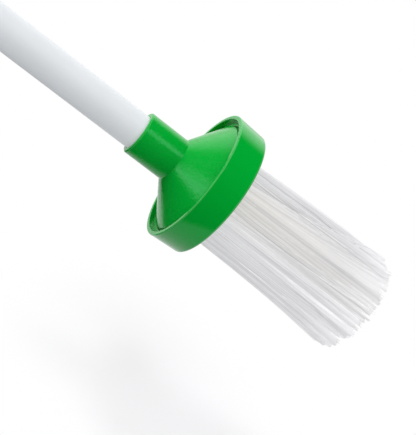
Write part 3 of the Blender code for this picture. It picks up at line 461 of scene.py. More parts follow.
def drawn_steel():
    """A metal whose tone, roughness and bump follow noise stretched along X."""
    finish, tree, shader = new_finish("drawn_steel")
    place = node_at(tree, "ShaderNodeTexCoord", (-1100, 0)).outputs["Object"]
    stretch = node_at(tree, "ShaderNodeMapping", (-900, 0))
    feed(tree, stretch, {"Vector": place, "Scale": LINE_STRETCH})
    lines = noise(tree, (-700, 0), stretch.outputs["Vector"], 1.0, LINE_DETAIL)
    feed(tree, shader, {
        "Base Color": ranged(tree, (-450, 200), lines, UNIT, STEEL_TONE),
        "Roughness": ranged(tree, (-450, -100), lines, UNIT, STEEL_ROUGHNESS),
        "Normal": bumped(tree, (-250, -300), lines, LINE_STRENGTH, LINE_HEIGHT),
        "Metallic": METAL_SHARE,
    })
    return finish


STEEL = drawn_steel()
print("steel finish:", STEEL.name)

# %% [markdown]
# ## The pole
#
# A plain white tube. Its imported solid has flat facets, so the scene's tube is turned with many more segments,
# with both ends slightly eased as a saw and a deburring tool leave them.

# %% The pole
POLE_WALL = 0.0012
POLE_SEGMENTS = 96
END_EASE = 0.0002

pole_back = pole_low.x - MOUTH_X
pole_front = pole_high.x - MOUTH_X
pole_bore = POLE_RADIUS - POLE_WALL
pole = turned_surface(
    "pole_tube",
    rounded_outline([
        (pole_back, pole_bore, END_EASE),
        (pole_back, POLE_RADIUS, END_EASE),
        (pole_front, POLE_RADIUS, END_EASE),
        (pole_front, pole_bore, END_EASE),
    ]),
    POLE_SEGMENTS,
)
dress(pole, WHITE, "tool", "white_pole", "pole")
print("pole length, mm:", round((pole_front - pole_back) * 1000, 1))

# %% [markdown]
# ## The funnel
#
# One moulding: a short sleeve over the pole, a sharp step out to a straight cone, and a flange that the ring
# holds. The sleeve's mouth has a small chamfer that catches a thin line of light. The cone's wide edge is
# barely rounded, which draws the bright line beside the groove, and the finish adds a painted highlight on
# these rounded edges.

# %% The funnel
HEAD_SEGMENTS = 160
SLEEVE_LENGTH = 0.0266
SLEEVE_RADIUS = 0.0138
SLEEVE_BORE = 0.0113
MOUTH_CHAMFER = 0.0007
MOUTH_EASE = 0.00025
STEP_EASE = 0.0004
CONE_END = 0.0434
CONE_RADIUS = 0.0371
CONE_EASE = 0.0007
CONE_WALL = 0.0024
THROAT_RADIUS = 0.0090
EDGE_DEPTH = 0.0031
FLANGE_RADIUS = 0.0395
SHOULDER = 0.0242

cone_slope = (CONE_RADIUS - SLEEVE_RADIUS) / (CONE_END - SLEEVE_LENGTH)
wall_shift = CONE_WALL / math.sin(math.atan(cone_slope))
inner_edge = CONE_RADIUS - CONE_WALL
throat_front = SLEEVE_LENGTH + wall_shift - (SLEEVE_RADIUS - THROAT_RADIUS) / cone_slope
inner_back = SLEEVE_LENGTH + wall_shift + (inner_edge - SLEEVE_RADIUS) / cone_slope
flange_back = CONE_END + EDGE_DEPTH
funnel = turned_surface(
    "funnel",
    rounded_outline([
        (0.0, SLEEVE_BORE, 0),
        (0.0, SLEEVE_RADIUS - MOUTH_CHAMFER, MOUTH_EASE),
        (MOUTH_CHAMFER, SLEEVE_RADIUS, MOUTH_EASE),
        (SLEEVE_LENGTH, SLEEVE_RADIUS, STEP_EASE),
        (CONE_END, CONE_RADIUS, CONE_EASE),
        (flange_back, CONE_RADIUS, 0),
        (flange_back, FLANGE_RADIUS, 0),
        (FLANGE_FRONT, FLANGE_RADIUS, 0),
        (FLANGE_FRONT, inner_edge, 0),
        (inner_back, inner_edge, 0),
        (throat_front, THROAT_RADIUS, 0),
        (SHOULDER, THROAT_RADIUS, 0),
        (SHOULDER, SLEEVE_BORE, 0),
    ]),
    HEAD_SEGMENTS,
)
dress(funnel, GREEN, "tool", "green_plastic", "head_housing")
print("cone half angle, degrees:", round(math.degrees(math.atan(cone_slope)), 1))

# %% [markdown]
# ## The retaining ring
#
# A separate band snaps over the flange. Its rear rim stands proud of the cone with a flat face and a slightly
# rounded outer corner, which draws a narrow line of light, helped by a painted highlight on the rounded corner,
# and a thin bead in the dark groove does the holding.
# The wall is drafted, a little narrower in front, so that the moulding leaves its mould.

# %% The retaining ring
RING_RADIUS = 0.04337
RING_DRAFT = 0.0010
RING_WALL = 0.0026
RIM_ROUND = 0.0007
RIM_INNER_EASE = 0.0003
FRONT_ROUND = 0.0013
BEAD_HEIGHT = 0.0013
BEAD_WIDTH = 0.0014
LIP_HEIGHT = 0.0022
LIP_THICKNESS = 0.0019
FIT = 0.0003

rim_inner = RING_RADIUS - RING_WALL
ring_bore = rim_inner - RING_DRAFT
bead_front = flange_back - FIT
bead_back = bead_front - BEAD_WIDTH
lip_back = RING_FRONT - LIP_THICKNESS
ring = turned_surface(
    "retaining_band",
    rounded_outline([
        (RING_BACK, rim_inner, RIM_INNER_EASE),
        (RING_BACK, RING_RADIUS, RIM_ROUND),
        (RING_FRONT, RING_RADIUS - RING_DRAFT, FRONT_ROUND),
        (RING_FRONT, ring_bore - LIP_HEIGHT, RIM_INNER_EASE),
        (lip_back, ring_bore - LIP_HEIGHT, 0),
        (lip_back, ring_bore, 0),
        (bead_front, ring_bore, 0),
        (bead_front, ring_bore - BEAD_HEIGHT, RIM_INNER_EASE),
        (bead_back, ring_bore - BEAD_HEIGHT, RIM_INNER_EASE),
        (bead_back, rim_inner, 0),
    ]),
    HEAD_SEGMENTS,
)
dress(ring, GREEN_BAND, "tool", "green_plastic", "retaining_ring")
print("ring width, mm:", round((RING_FRONT - RING_BACK) * 1000, 2))

# %% [markdown]
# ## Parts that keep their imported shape
#
# The mechanism and the grip are already the right shape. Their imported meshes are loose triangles, so each one
# is copied, its doubled points are merged and its round stretches are shaded smooth. A narrow bevel then
# breaks the edges of the mouldings, which is what catches light on a real one.

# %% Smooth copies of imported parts
MERGE_DISTANCE = 0.000002
FLAT_LIMIT = math.radians(1)
BEVEL_LIMIT = math.radians(35)
BEVEL_SEGMENTS = 2


def smooth_copy(name, node, finish, body, slot, edge):
    """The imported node's mesh, merged and smooth shaded, with a bevel of the given width on its sharp edges."""
    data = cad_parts[node].data.copy()
    data.name = name
    work = bmesh.new()
    work.from_mesh(data)
    bmesh.ops.remove_doubles(work, verts=work.verts, dist=MERGE_DISTANCE)
    bmesh.ops.dissolve_limit(work, angle_limit=FLAT_LIMIT, verts=work.verts, edges=work.edges)
    work.to_mesh(data)
    work.free()
    data.shade_smooth()
    data.set_sharp_from_angle(angle=SMOOTH_LIMIT)
    piece = bpy.data.objects.new(name, data)
    bpy.context.scene.collection.objects.link(piece)
    if edge:
        soften = piece.modifiers.new("edge", "BEVEL")
        soften.width = edge
        soften.segments = BEVEL_SEGMENTS
        soften.limit_method = "ANGLE"
        soften.angle_limit = BEVEL_LIMIT
        soften.harden_normals = True
    return dress(piece, finish, body, slot, node)


# %% [markdown]
# ## Nylon bristles
#
# Each cup holds a tuft of more than a thousand clear filaments. Seen together they look pale grey, with a
# warmer cream where many lie behind each other. Every filament carries its own tone and its bundle's warmth as
# attributes, so one finish serves them all. The tips are painted whiter, painted light for the light that their
# thin ends scatter. Light also travels inside the clear filaments from one side of the brush to the other. A
# steady painted glow, an emission in the finish, stands for it, because following that light through thousands
# of them would take far too long.

# %% Finishes: nylon
# The glow is a painted glow sent out by every filament, and the tip colour paints the ends lighter.
NYLON_GREY = (0.645, 0.645, 0.66, 1.0)
NYLON_CREAM = (0.645, 0.635, 0.61, 1.0)
NYLON_PAINTED_TIP_LIGHT = (0.81, 0.81, 0.82, 1.0)
NYLON_ROUGHNESS = 0.35
NYLON_PAINTED_GLOW = 0.58
TIP_BOUNDS = (0.75, 1.0)
TIP_PAINTED_LIFT = (0.0, 0.22)


def nylon():
    """Pale translucent filament. Colour = mix(grey, cream, warmth) times tone, painted lighter toward white at
    the tip as painted light, and sent out again as a painted glow.
    """
    finish, tree, shader = new_finish("clear_nylon")
    warmth = mesh_value(tree, (-1000, 300), "warmth")
    tone = mesh_value(tree, (-1000, 50), "tone")
    along = mesh_value(tree, (-1000, -200), "along")
    colour = mixed(tree, (-700, 300), "RGBA", warmth, NYLON_GREY, NYLON_CREAM)
    shade = recoloured(tree, (-450, 250), colour, tone)
    painted_tip_light = ranged(tree, (-700, -200), along, TIP_BOUNDS, TIP_PAINTED_LIFT)
    pale = mixed(tree, (-200, 250), "RGBA", painted_tip_light, shade, NYLON_PAINTED_TIP_LIGHT)
    feed(tree, shader, {
        "Base Color": pale,
        "Roughness": NYLON_ROUGHNESS,
        "IOR": PLASTIC_IOR,
        "Emission Color": pale,
        "Emission Strength": NYLON_PAINTED_GLOW,
    })
    return finish


NYLON = nylon()
print("bristle finish:", NYLON.name)

# %% [markdown]
# ## The tufts
#
# A filament starts in its cup and runs forward almost straight, and all of them end in one cut. Its place is a
# share across the cup's sector and a share outward, and it keeps both from root to tip. The brush isn't quite
# round: the side toward the floor flares at its end, and the upper side stays slim. Filaments cling together
# in clumps that share a small lean and a length, which gives the fine streaks and the stepped ends. Between
# cups, and down the middle of some, the surface dips a little, and painted shade in the filaments' tone darkens
# the dip into a soft dark line. Along one ridge the surface rises a little and gets a painted highlight in the
# tone. One tuft spreads over its neighbour toward the tip, and here and there a single filament strays across
# the others.

# %% Brush sizes
CUPS = 8
FILAMENTS_PER_CUP = 1900
CLUMPS_PER_CUP = 54
FILAMENT_RINGS = 9
FILAMENT_SIDES = 3
FILAMENT_RADIUS = 0.00016
TIP_THICKER_SHARE = 0.35
ROOT_STATION = 0.0544
ROOT_INNER = 0.0145
ROOT_OUTER = 0.0293
ROOT_SIDE_GAP = 0.00195
TIP_INNER = 0.0045
SIDE_GAP = 0.00015
GAP_CLOSES_FROM = 0.03
GAP_CLOSED_AT = 0.16

# The brush's outer radius at each station, on the side toward the floor and on the side away from it.
FLOOR_SIDE_TURN = math.radians(149)
BODY_STATIONS = (0.0544, 0.061, 0.080, 0.100, 0.120, 0.140, 0.160, 0.177)
FLOOR_SIDE_RADII = (0.0286, 0.0284, 0.0290, 0.0297, 0.0304, 0.0318, 0.0340, 0.0360)
UPPER_SIDE_RADII = (0.0268, 0.0263, 0.0272, 0.0281, 0.0289, 0.0297, 0.0301, 0.0300)

cup_tips = [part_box(f"bristle_tuft_{cup + 1}")[1].x - MOUTH_X for cup in range(CUPS)]
print("tuft tips, mm in front of the mouth:", [round(tip * 1000, 1) for tip in cup_tips])


def smooth_step(low, high, value):
    """0 below low, 1 above high, and 3 s^2 - 2 s^3 between, where s is the share of the way."""
    share = np.clip((value - low) / (high - low), 0, 1)
    return share * share * (3 - 2 * share)


def bell(turn, centre, width):
    """exp(-(difference / width)^2), with the difference taken the short way round the circle."""
    difference = np.angle(np.exp(1j * (turn - centre)))
    return np.exp(-((difference / width) ** 2))


def brush_radius(station, turn):
    """Outer radius: the upper side's row and the floor side's row of radii, mixed by (1 + cos) / 2."""
    upper = np.interp(station, BODY_STATIONS, UPPER_SIDE_RADII)
    lower = np.interp(station, BODY_STATIONS, FLOOR_SIDE_RADII)
    return upper + (lower - upper) * (1 + np.cos(turn - FLOOR_SIDE_TURN)) / 2


# %% Grooves in the brush's surface
GROOVE_DEPTH = 0.0012
GROOVE_WIDTH = math.radians(2.6)
GROOVE_FULL_FROM = 0.1
FINE_LINE_SEED = 5
FINE_LINES = 60
FINE_LINE_WIDTH = math.radians(0.7)
FINE_LINE_DEPTH = 0.8
FINE_LINE_DRIFT = math.radians(5)
RIDGE_TURN = math.radians(74)
RIDGE_WIDTH = math.radians(1.0)
GROOVE_TO_RIDGE = 3
SPREAD_CUP = 1
SPREAD = math.radians(55)
SPREAD_POWER = 1.5
SPREAD_RISE = 0.0007

# Depths at the side and at the middle of each cup in turn.
SIDE_GROOVES = (0.9, 1.0, 0.15, 0.3, 0.5, 0.4, 0.4, 0.5)
MIDDLE_GROOVES = (0.9, 1.0, 0.1, 0.15, 0.3, 0.5, 0.4, 0.4)


def groove_share(turn, t):
    """How deep the surface dips at a turn round the brush: a bell at each side and middle of a cup, and many
    narrow ones at random turns. A narrow one drifts round the brush with t, the way from root to tip, and the
    side that the spread tuft leans over drifts with it."""
    rng = np.random.default_rng(FINE_LINE_SEED)
    total = np.zeros_like(turn)
    centres, depths = rng.uniform(0, math.tau, FINE_LINES), rng.uniform(0, FINE_LINE_DEPTH, FINE_LINES)
    for centre, depth, drift in zip(centres, depths, rng.normal(0, FINE_LINE_DRIFT, FINE_LINES)):
        total += depth * bell(turn, centre + drift * t, FINE_LINE_WIDTH)
    for cup in range(CUPS):
        middle = math.tau * cup / CUPS
        side = middle + math.pi / CUPS - SPREAD * t**2 * (cup + 1 == SPREAD_CUP)
        total += MIDDLE_GROOVES[cup] * bell(turn, middle, GROOVE_WIDTH)
        total += SIDE_GROOVES[cup] * bell(turn, side, GROOVE_WIDTH)
    return total


print("grooves round the brush:", FINE_LINES + 2 * CUPS)

# %% Filament centre lines
TUFT_SEED = 11
STRAY_SEED = 31
OUTWARD_WEIGHT = 2

# Shares outward, from 0 in the brush's core to 1 at its skin.
SKIN_FROM = 0.75
FULL_LENGTH_WITHIN = 0.8
SOFT_EDGE_FROM = 0.9

SOFT_EDGE = 0.0011
CLUMP_LEAN = 0.0009
CLUMP_TWIST = math.radians(2.6)
CLUMP_CLING = 0.5
LONE_LEAN = 0.00035
RAGGED_SHARE = 0.045
LONE_RAGGED_SHARE = 0.012
STRAY_SHARE = 0.10
STRAY_DRIFT = math.radians(8)
STRAY_RISE = 0.0003
CLUMP_TONE = 0.14
LONE_TONE = 0.17
STRAY_TONE = 0.14
# Painted shade in the grooves and a painted highlight on the ridge, as shares of the tone.
GROOVE_PAINTED_SHADE = 0.12
RIDGE_PAINTED_HIGHLIGHT = 0.09

# Warmth gathers round one side of the brush and fades toward the tips.
WARM_TURN = math.radians(47)
WARM_WIDTH = math.radians(24)
WARMTH_FADE = 0.7
LEAST_WARMTH = 0.5
FAINT_WARMTH = 0.15


def filament_lines(cup, count):
    """Centre lines of a cup's filaments as (count, rings, 3), with each one's tone and warmth.

    Radius = inner + (outer - inner) * outward + lean * t^2, and turn = across * half sector + twist * t. One
    tuft also spreads over its neighbour, by spread * t^2, and a few outer filaments stray over the others. One
    inner filament keeps its full length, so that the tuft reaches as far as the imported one.
    """
    rng = np.random.default_rng(TUFT_SEED + cup)
    across = rng.uniform(-1, 1, count)
    outward = np.sqrt(rng.uniform(0, 1, count))
    clumps_across = rng.uniform(-1, 1, CLUMPS_PER_CUP)
    clumps_outward = np.sqrt(rng.uniform(0, 1, CLUMPS_PER_CUP))
    apart_outward = OUTWARD_WEIGHT * (outward[:, None] - clumps_outward)
    clump = np.argmin((across[:, None] - clumps_across) ** 2 + apart_outward**2, axis=1)
    outward = outward + SOFT_EDGE / ROOT_OUTER * np.abs(rng.normal(0, 1, count)) * (outward > SOFT_EDGE_FROM)

    t = np.linspace(0, 1, FILAMENT_RINGS)[None, :]
    cling = CLUMP_CLING * t**2
    across = across[:, None] * (1 - cling) + clumps_across[clump][:, None] * cling
    outward = outward[:, None] * (1 - cling) + clumps_outward[clump][:, None] * cling
    short = RAGGED_SHARE * rng.uniform(0, 1, CLUMPS_PER_CUP)[clump] + LONE_RAGGED_SHARE * rng.uniform(0, 1, count)
    short[np.argmax(outward[:, 0] < FULL_LENGTH_WITHIN)] = 0.0
    reach = (cup_tips[cup] - ROOT_STATION) * (1 - short)
    station = ROOT_STATION + reach[:, None] * t

    inner = ROOT_INNER + (TIP_INNER - ROOT_INNER) * t
    gap = ROOT_SIDE_GAP + (SIDE_GAP - ROOT_SIDE_GAP) * smooth_step(GAP_CLOSES_FROM, GAP_CLOSED_AT, t)
    middle = math.tau * cup / CUPS
    outer = brush_radius(station, middle + across * math.pi / CUPS)
    radius = inner + (outer - inner) * outward
    half = math.pi / CUPS - np.arcsin(gap / radius)
    twist = CLUMP_TWIST * rng.normal(0, 1, CLUMPS_PER_CUP)[clump][:, None] * (1 - across**2)
    skin = smooth_step(SKIN_FROM, 1.0, outward)
    over = np.clip(-across[:, :1], 0, 1) ** SPREAD_POWER * outward[:, :1] ** 2 * t**2 * (cup == SPREAD_CUP)
    strays = np.random.default_rng(STRAY_SEED + cup)
    stray = (strays.uniform(0, 1, count) < STRAY_SHARE)[:, None] * skin[:, :1] * t**2
    sideways = STRAY_DRIFT * strays.normal(0, 1, count)[:, None]
    turn = middle + across * half + twist * t - SPREAD * over + sideways * stray

    dip = groove_share(turn, t) * skin * smooth_step(0.0, GROOVE_FULL_FROM, t)
    rise = bell(turn, RIDGE_TURN, RIDGE_WIDTH) * skin
    lean = CLUMP_LEAN * rng.normal(0, 1, CLUMPS_PER_CUP)[clump] + LONE_LEAN * rng.normal(0, 1, count)
    bow = CLUMP_LEAN * rng.normal(0, 1, CLUMPS_PER_CUP)[clump] / 2
    radius = radius + lean[:, None] * t**2 + bow[:, None] * np.sin(math.pi * t)
    radius = radius - GROOVE_DEPTH * (dip - rise / GROOVE_TO_RIDGE)
    radius = radius + SPREAD_RISE * over + STRAY_RISE * stray
    points = np.stack([MOUTH_X + station, -radius * np.sin(turn), AXIS_Z + radius * np.cos(turn)], axis=-1)

    tone = 1 - CLUMP_TONE * rng.uniform(0, 1, CLUMPS_PER_CUP)[clump] - LONE_TONE * rng.uniform(0, 1, count) ** 2
    # Painted shade darkens the filaments in the grooves, and a painted highlight lightens those on the ridge.
    tone = tone[:, None] - GROOVE_PAINTED_SHADE * dip + RIDGE_PAINTED_HIGHLIGHT * rise - STRAY_TONE * (stray > 0) * np.sign(sideways)
    warmth = FAINT_WARMTH + bell(turn, WARM_TURN, WARM_WIDTH) * (1 - WARMTH_FADE * t)
    share = LEAST_WARMTH + (1 - LEAST_WARMTH) * rng.uniform(0, 1, CLUMPS_PER_CUP)[clump]
    return points, tone, warmth * share[:, None]


# %% The tufts
def filament_surface(name, lines, tone, warmth):
    """Three-sided tubes round the lines: point + radius * (cos, sin) in the plane square to the pole. The
    radius grows a little toward the tip, which stands for the split and curled ends."""
    count, rings = lines.shape[:2]
    angle = np.arange(FILAMENT_SIDES) * math.tau / FILAMENT_SIDES
    spokes = np.stack([np.zeros_like(angle), np.cos(angle), np.sin(angle)], axis=-1)
    thickness = FILAMENT_RADIUS * (1 + TIP_THICKER_SHARE * np.linspace(0, 1, rings))
    points = (lines[:, :, None, :] + spokes[None, None] * thickness[None, :, None, None]).reshape(-1, 3)
    per_line = rings * FILAMENT_SIDES
    first = (np.arange(count) * per_line)[:, None, None]
    walls = (grid_faces(rings, FILAMENT_SIDES, False, True)[None] + first).reshape(-1, 4)
    ends = np.array([[2, 1, 0], [per_line - 3, per_line - 2, per_line - 1]])
    caps = (ends[None] + first).reshape(-1, 3)
    piece = mesh_piece(name, points, [walls, caps])
    along = np.broadcast_to(np.linspace(0, 1, rings)[None, :], (count, rings))
    for label, value in {"along": along, "tone": tone, "warmth": warmth}.items():
        spread = np.repeat(value[:, :, None], FILAMENT_SIDES, axis=2)
        attribute = piece.data.attributes.new(label, "FLOAT", "POINT")
        attribute.data.foreach_set("value", spread.astype(np.float32).ravel())
    return piece


for cup in range(CUPS):
    tuft = filament_surface(f"tuft_filaments_{cup + 1}", *filament_lines(cup, FILAMENTS_PER_CUP))
    dress(tuft, NYLON, f"petal_{cup + 1}", "bristle_nylon", f"bristle_tuft_{cup + 1}")
print("filaments:", CUPS * FILAMENTS_PER_CUP)

# %% [markdown]
# ## The screws
#
# Three screws hold the grip's halves together. Each is a short outline turned about its own axis, and the head's
# face is pressed in with a cross for the driver. How deep it goes at a point depends on how far the point is
# from the nearest arm's middle line.

# %% The screws
SCREW_TURNS = 48
HEAD_DEPTH = 0.0020
HEAD_EASE = 0.0003
EASE_ROWS = 4
SHANK_RADIUS = 0.0013
CROSS_DEPTH = 0.0011
CROSS_HALF_WIDTH = 0.00042
CROSS_REACH = 0.0018
CROSS_FADE = 0.00012
FACE_ROWS = 18
SCREWS = 3


def cross_share(radius, turn):
    """1 inside the cross and 0 outside: along = r cos a and aside = |r sin a|, from the nearest arm."""
    nearest = np.mod(turn + math.pi / 4, math.pi / 2) - math.pi / 4
    along, aside = radius * np.cos(nearest), np.abs(radius * np.sin(nearest))
    within = 1 - smooth_step(CROSS_HALF_WIDTH - CROSS_FADE, CROSS_HALF_WIDTH + CROSS_FADE, aside)
    return within * (1 - smooth_step(CROSS_REACH - CROSS_FADE, CROSS_REACH + CROSS_FADE, along))


def cross_screw(name, node):
    """A closed surface over (radius, depth) rows: the pressed face, the head's side, the shank and its end."""
    low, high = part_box(node)
    middle_x, middle_z = (low.x + high.x) / 2, (low.z + high.z) / 2
    head = (high.x - low.x) / 2
    length = high.y - low.y
    face = np.linspace(0, head - HEAD_EASE, FACE_ROWS + 1)[1:]
    ease = np.linspace(0, math.pi / 2, EASE_ROWS + 1)[1:]
    radius = np.concatenate([face, head - HEAD_EASE * (1 - np.sin(ease)), [head, SHANK_RADIUS, SHANK_RADIUS]])
    depth = np.concatenate([0 * face, HEAD_EASE * (1 - np.cos(ease)), [HEAD_DEPTH, HEAD_DEPTH, length]])
    turn = np.arange(SCREW_TURNS) * math.tau / SCREW_TURNS
    pressed = CROSS_DEPTH * cross_share(radius[:, None], turn[None, :]) * (radius <= face[-1])[:, None]
    x = middle_x + radius[:, None] * np.cos(turn)
    y = low.y + depth[:, None] + pressed
    z = middle_z + radius[:, None] * np.sin(turn)
    ends = [[middle_x, low.y + CROSS_DEPTH, middle_z], [middle_x, high.y, middle_z]]
    points = np.concatenate([np.stack([x, y, z], axis=-1).reshape(-1, 3), ends])
    here = np.arange(SCREW_TURNS)
    beside = (here + 1) % SCREW_TURNS
    last = (len(radius) - 1) * SCREW_TURNS
    first_fan = np.stack([beside, here, np.full(SCREW_TURNS, len(points) - 2)], axis=-1)
    last_fan = np.stack([last + here, last + beside, np.full(SCREW_TURNS, len(points) - 1)], axis=-1)
    walls = grid_faces(len(radius), SCREW_TURNS, False, True)
    return dress(mesh_piece(name, points, [walls, first_fan, last_fan]), STEEL, "tool", "steel", node)


for index in range(1, SCREWS + 1):
    screw = cross_screw(f"grip_screw_{index}", f"handle_screw_{index}")
print("screw faces:", len(screw.data.polygons))

# %% [markdown]
# ## The mechanism and the grip
#
# These keep their imported shapes. The grip's halves and the lever get a wider bevel than the small parts,
# because a hand-held moulding has no hard edges. The closing spring gets a mesh of its own.

# %% Mechanism and grip
GRIP_EDGE = 0.0004
SMALL_EDGE = 0.00015
NO_EDGE = 0.0

SLOTS = {GREEN.name: "green_plastic", GREY.name: "grey_plastic", STEEL.name: "steel"}
COPIES = [
    ("grip_shell_left", "handle_left", GREEN, "tool", GRIP_EDGE),
    ("grip_shell_right", "handle_right", GREEN, "tool", GRIP_EDGE),
    ("squeeze_lever", "trigger", GREEN, "lever", GRIP_EDGE),
    ("cup_carrier", "pivot_carrier", GREY, "tool", NO_EDGE),
    ("front_rod_bush", "front_bush", GREY, "tool", NO_EDGE),
    ("back_rod_bush", "back_bush", GREY, "tool", NO_EDGE),
    ("lever_pin", "trigger_pin", STEEL, "tool", SMALL_EDGE),
    ("closing_spring", "return_spring", STEEL, "tool", NO_EDGE),
    ("rod", "push_rod", STEEL, "rod", NO_EDGE),
    ("plunger_nut", "rod_nut", STEEL, "rod", SMALL_EDGE),
    ("grooved_plunger", "plunger", GREY, "rod", NO_EDGE),
    ("slider", "rod_slider", GREY, "rod", SMALL_EDGE),
]
for number in range(1, CUPS + 1):
    COPIES.append((f"cup_{number}", f"bristle_cup_{number}", GREY, f"petal_{number}", NO_EDGE))

copies = {}
for name, node, finish, body, edge in COPIES:
    copies[name] = smooth_copy(name, node, finish, body, SLOTS[finish.name], edge)
spring = copies["closing_spring"]
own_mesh(spring)

# %% [markdown]
# ## The studio
#
# The tool is held a hand's width above a pale floor. The light comes from a sky that is brighter behind the tool
# than on the lens's side, and from four soft panels. Satin plastic also mirrors the room, and in a real studio
# that room is dark behind the lens, with a white backdrop beyond the tool, a white sheet under it and two lit
# panels. So the sky and the floor show that room to reflections only. To the lens both are plain white, but for
# a faint shadow on the floor under the brush.

# %% Studio helpers
BLACK = (0.0, 0.0, 0.0, 1.0)
PURE_WHITE = (1.0, 1.0, 1.0, 1.0)
ROOM_DARK = 0.02
PANEL_BOUNDS = (0.974, 0.989)
PANEL_RESULTS = (0.0, 2.2)
LEFT_PANEL_SIDE = (-0.83, -0.50, -0.25)
RIGHT_PANEL_SIDE = (0.68, -0.22, -0.70)


def unit(side):
    """The direction of side, one long."""
    return np.array(side) / np.linalg.norm(side)


def vector_node(tree, place, operation, *values):
    """A Vector Math node's outputs."""
    made = node_at(tree, "ShaderNodeVectorMath", place, operation=operation)
    return feed(tree, made, dict(enumerate(values))).outputs


def facing(tree, direction, side, bounds, results):
    """Smooth step of direction . side between the bounds, from one result to the other, with side as the lens
    sees it."""
    turned = vector_node(tree, (-700, 0), "DOT_PRODUCT", direction, tuple(world_from_view @ unit(side)))
    return ranged(tree, (-450, 0), turned["Value"], bounds, results, "SMOOTHSTEP")


def seen_by_lens(tree, path):
    """1 for what the lens sees, straight or through something clear."""
    return calculated(tree, (-700, 200), "MAXIMUM", path["Is Camera Ray"], path["Is Transmission Ray"])


# %% Floor
FLOOR_CORNERS = ((-8.0, -8.0), (8.0, -8.0), (8.0, 8.0), (-8.0, 8.0))
FLOOR_DROP = 0.105
FLOOR_BOUNCE = (0.36, 0.36, 0.37, 1.0)
FLOOR_LIT = (0.995, 0.985, 1.0, 1.0)
FADE_CENTRE = (0.294, -0.038, -FLOOR_DROP)
FADE_BOUNDS = (0.05, 0.15)
SHEET_SIDE = (0.0, 0.59, 0.81)
SHEET_EDGE = 0.120
SHEET_FADE = 0.006
SHEET_BOUNDS = (SHEET_EDGE - SHEET_FADE, SHEET_EDGE + SHEET_FADE)
SHEET_RESULTS = (ROOM_DARK, 0.95)


def white_floor():
    """To the lens: a lit white under the brush, which fades to plain white further off. To bounced light: a
    plain mid tone. To reflections: a white sheet whose edge crosses under the tool, and the lower half of the
    left panel."""
    finish, tree, shader = new_finish("white_floor")
    path = node_at(tree, "ShaderNodeLightPath", (-900, 0)).outputs
    place = node_at(tree, "ShaderNodeTexCoord", (-1300, 0)).outputs["Object"]
    from_mouth = vector_node(tree, (-1100, 0), "SUBTRACT", place, tuple(mouth))["Vector"]
    outward = vector_node(tree, (-900, -300), "NORMALIZE", from_mouth)["Vector"]
    sheet = facing(tree, from_mouth, SHEET_SIDE, SHEET_BOUNDS, SHEET_RESULTS)
    panel = facing(tree, outward, LEFT_PANEL_SIDE, PANEL_BOUNDS, PANEL_RESULTS)
    room = calculated(tree, (-200, -100), "ADD", sheet, panel)
    mirrored = calculated(tree, (0, -100), "MULTIPLY", path["Is Glossy Ray"], room)

    seen = seen_by_lens(tree, path)
    distance = vector_node(tree, (-1100, 300), "DISTANCE", place, FADE_CENTRE)["Value"]
    fade = ranged(tree, (-900, 300), distance, FADE_BOUNDS, UNIT, "SMOOTHSTEP")
    far = calculated(tree, (-500, 300), "MULTIPLY", seen, fade)
    lit = mixed(tree, (-250, 100), "RGBA", seen, FLOOR_BOUNCE, FLOOR_LIT)
    glowing = calculated(tree, (-250, 300), "MAXIMUM", path["Is Glossy Ray"], far)
    feed(tree, shader, {
        "Base Color": mixed(tree, (-100, 100), "RGBA", glowing, lit, BLACK),
        "Roughness": 1.0,
        "Specular IOR Level": 0.0,
        "Emission Color": PURE_WHITE,
        "Emission Strength": calculated(tree, (0, 300), "ADD", far, mirrored),
    })
    return finish


floor_data = bpy.data.meshes.new("floor")
floor_data.from_pydata([(x, y, -FLOOR_DROP) for x, y in FLOOR_CORNERS], [], [(0, 1, 2, 3)])
floor = bpy.data.objects.new("floor", floor_data)
bpy.context.scene.collection.objects.link(floor)
floor_data.materials.append(white_floor())
print("floor below the tool, mm:", round(FLOOR_DROP * 1000))

# %% Sky
SKY_BRIGHT_SIDE = (-0.55, -0.60, 0.45)
SKY_BOUNDS = (-0.5, 0.9)
SKY_RESULTS = (0.55, 0.74)
BACKDROP_SIDE = (0.0, -0.59, 0.81)
BACKDROP_BOUNDS = (0.52, 0.80)
BACKDROP_RESULTS = (ROOM_DARK, 1.35)
LENS_WHITE = 1.0


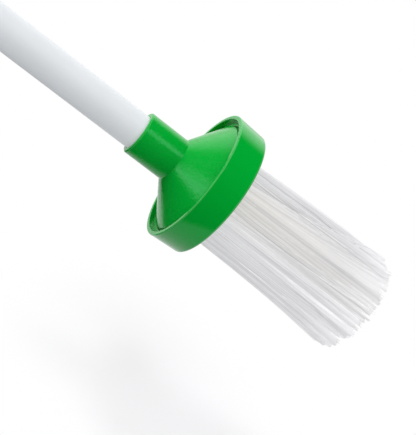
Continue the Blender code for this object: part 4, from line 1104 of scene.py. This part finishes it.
def sky():
    """Plain white to the lens. To reflections: a dark room with a backdrop and two panels. As a light: dark to
    bright with the angle to the bright side."""
    world = bpy.data.worlds.new("sky")
    world.use_nodes = True
    tree = world.node_tree
    path = node_at(tree, "ShaderNodeLightPath", (-900, 300)).outputs
    direction = node_at(tree, "ShaderNodeTexCoord", (-900, 0)).outputs["Generated"]
    light = facing(tree, direction, SKY_BRIGHT_SIDE, SKY_BOUNDS, SKY_RESULTS)
    room = facing(tree, direction, BACKDROP_SIDE, BACKDROP_BOUNDS, BACKDROP_RESULTS)
    for side in (RIGHT_PANEL_SIDE, LEFT_PANEL_SIDE):
        panel = facing(tree, direction, side, PANEL_BOUNDS, PANEL_RESULTS)
        room = calculated(tree, (-200, 0), "ADD", room, panel)
    unseen = mixed(tree, (-250, 100), "FLOAT", path["Is Glossy Ray"], light, room)
    strength = mixed(tree, (-100, 100), "FLOAT", seen_by_lens(tree, path), unseen, LENS_WHITE)
    feed(tree, tree.nodes["Background"], {"Color": PURE_WHITE, "Strength": strength})
    return world


bpy.context.scene.world = sky()
print("sky strength as a light:", SKY_RESULTS)

# %% Lamps
# Each panel's side as the lens sees it, its distance and width in metres, and its brightness.
PANELS = {
    "key_panel": ((0.62, -0.17, -0.77), 4.0, 4.0, 0.93),
    "left_panel": ((-0.45, -0.85, -0.28), 3.8, 2.4, 3.2),
    "top_panel": ((0.308, -0.855, -0.416), 4.4, 0.90, 9.5),
    "back_panel": ((-0.26, -0.82, 0.51), 4.2, 2.4, 1.8),
}


def soft_lamp(name, side, distance, width, brightness):
    """A square panel facing the funnel. Power = brightness * pi * area. The sky shows the panels to
    reflections, so the lamp itself isn't mirrored."""
    data = bpy.data.lights.new(name, "AREA")
    data.shape = "SQUARE"
    data.size = width
    data.energy = brightness * math.pi * width**2
    lamp = bpy.data.objects.new(name, data)
    lamp.location = from_view(*(unit(side) * distance))
    aim = Vector(mouth) - lamp.location
    lamp.rotation_euler = aim.to_track_quat("-Z", "Y").to_euler()
    lamp.visible_camera = False
    lamp.visible_glossy = False
    bpy.context.scene.collection.objects.link(lamp)


for name, values in PANELS.items():
    soft_lamp(name, *values)
print("lamps:", ", ".join(PANELS))

# %% Colour view and final update
bpy.context.scene.view_settings.view_transform = "Standard"
bpy.context.view_layer.update()
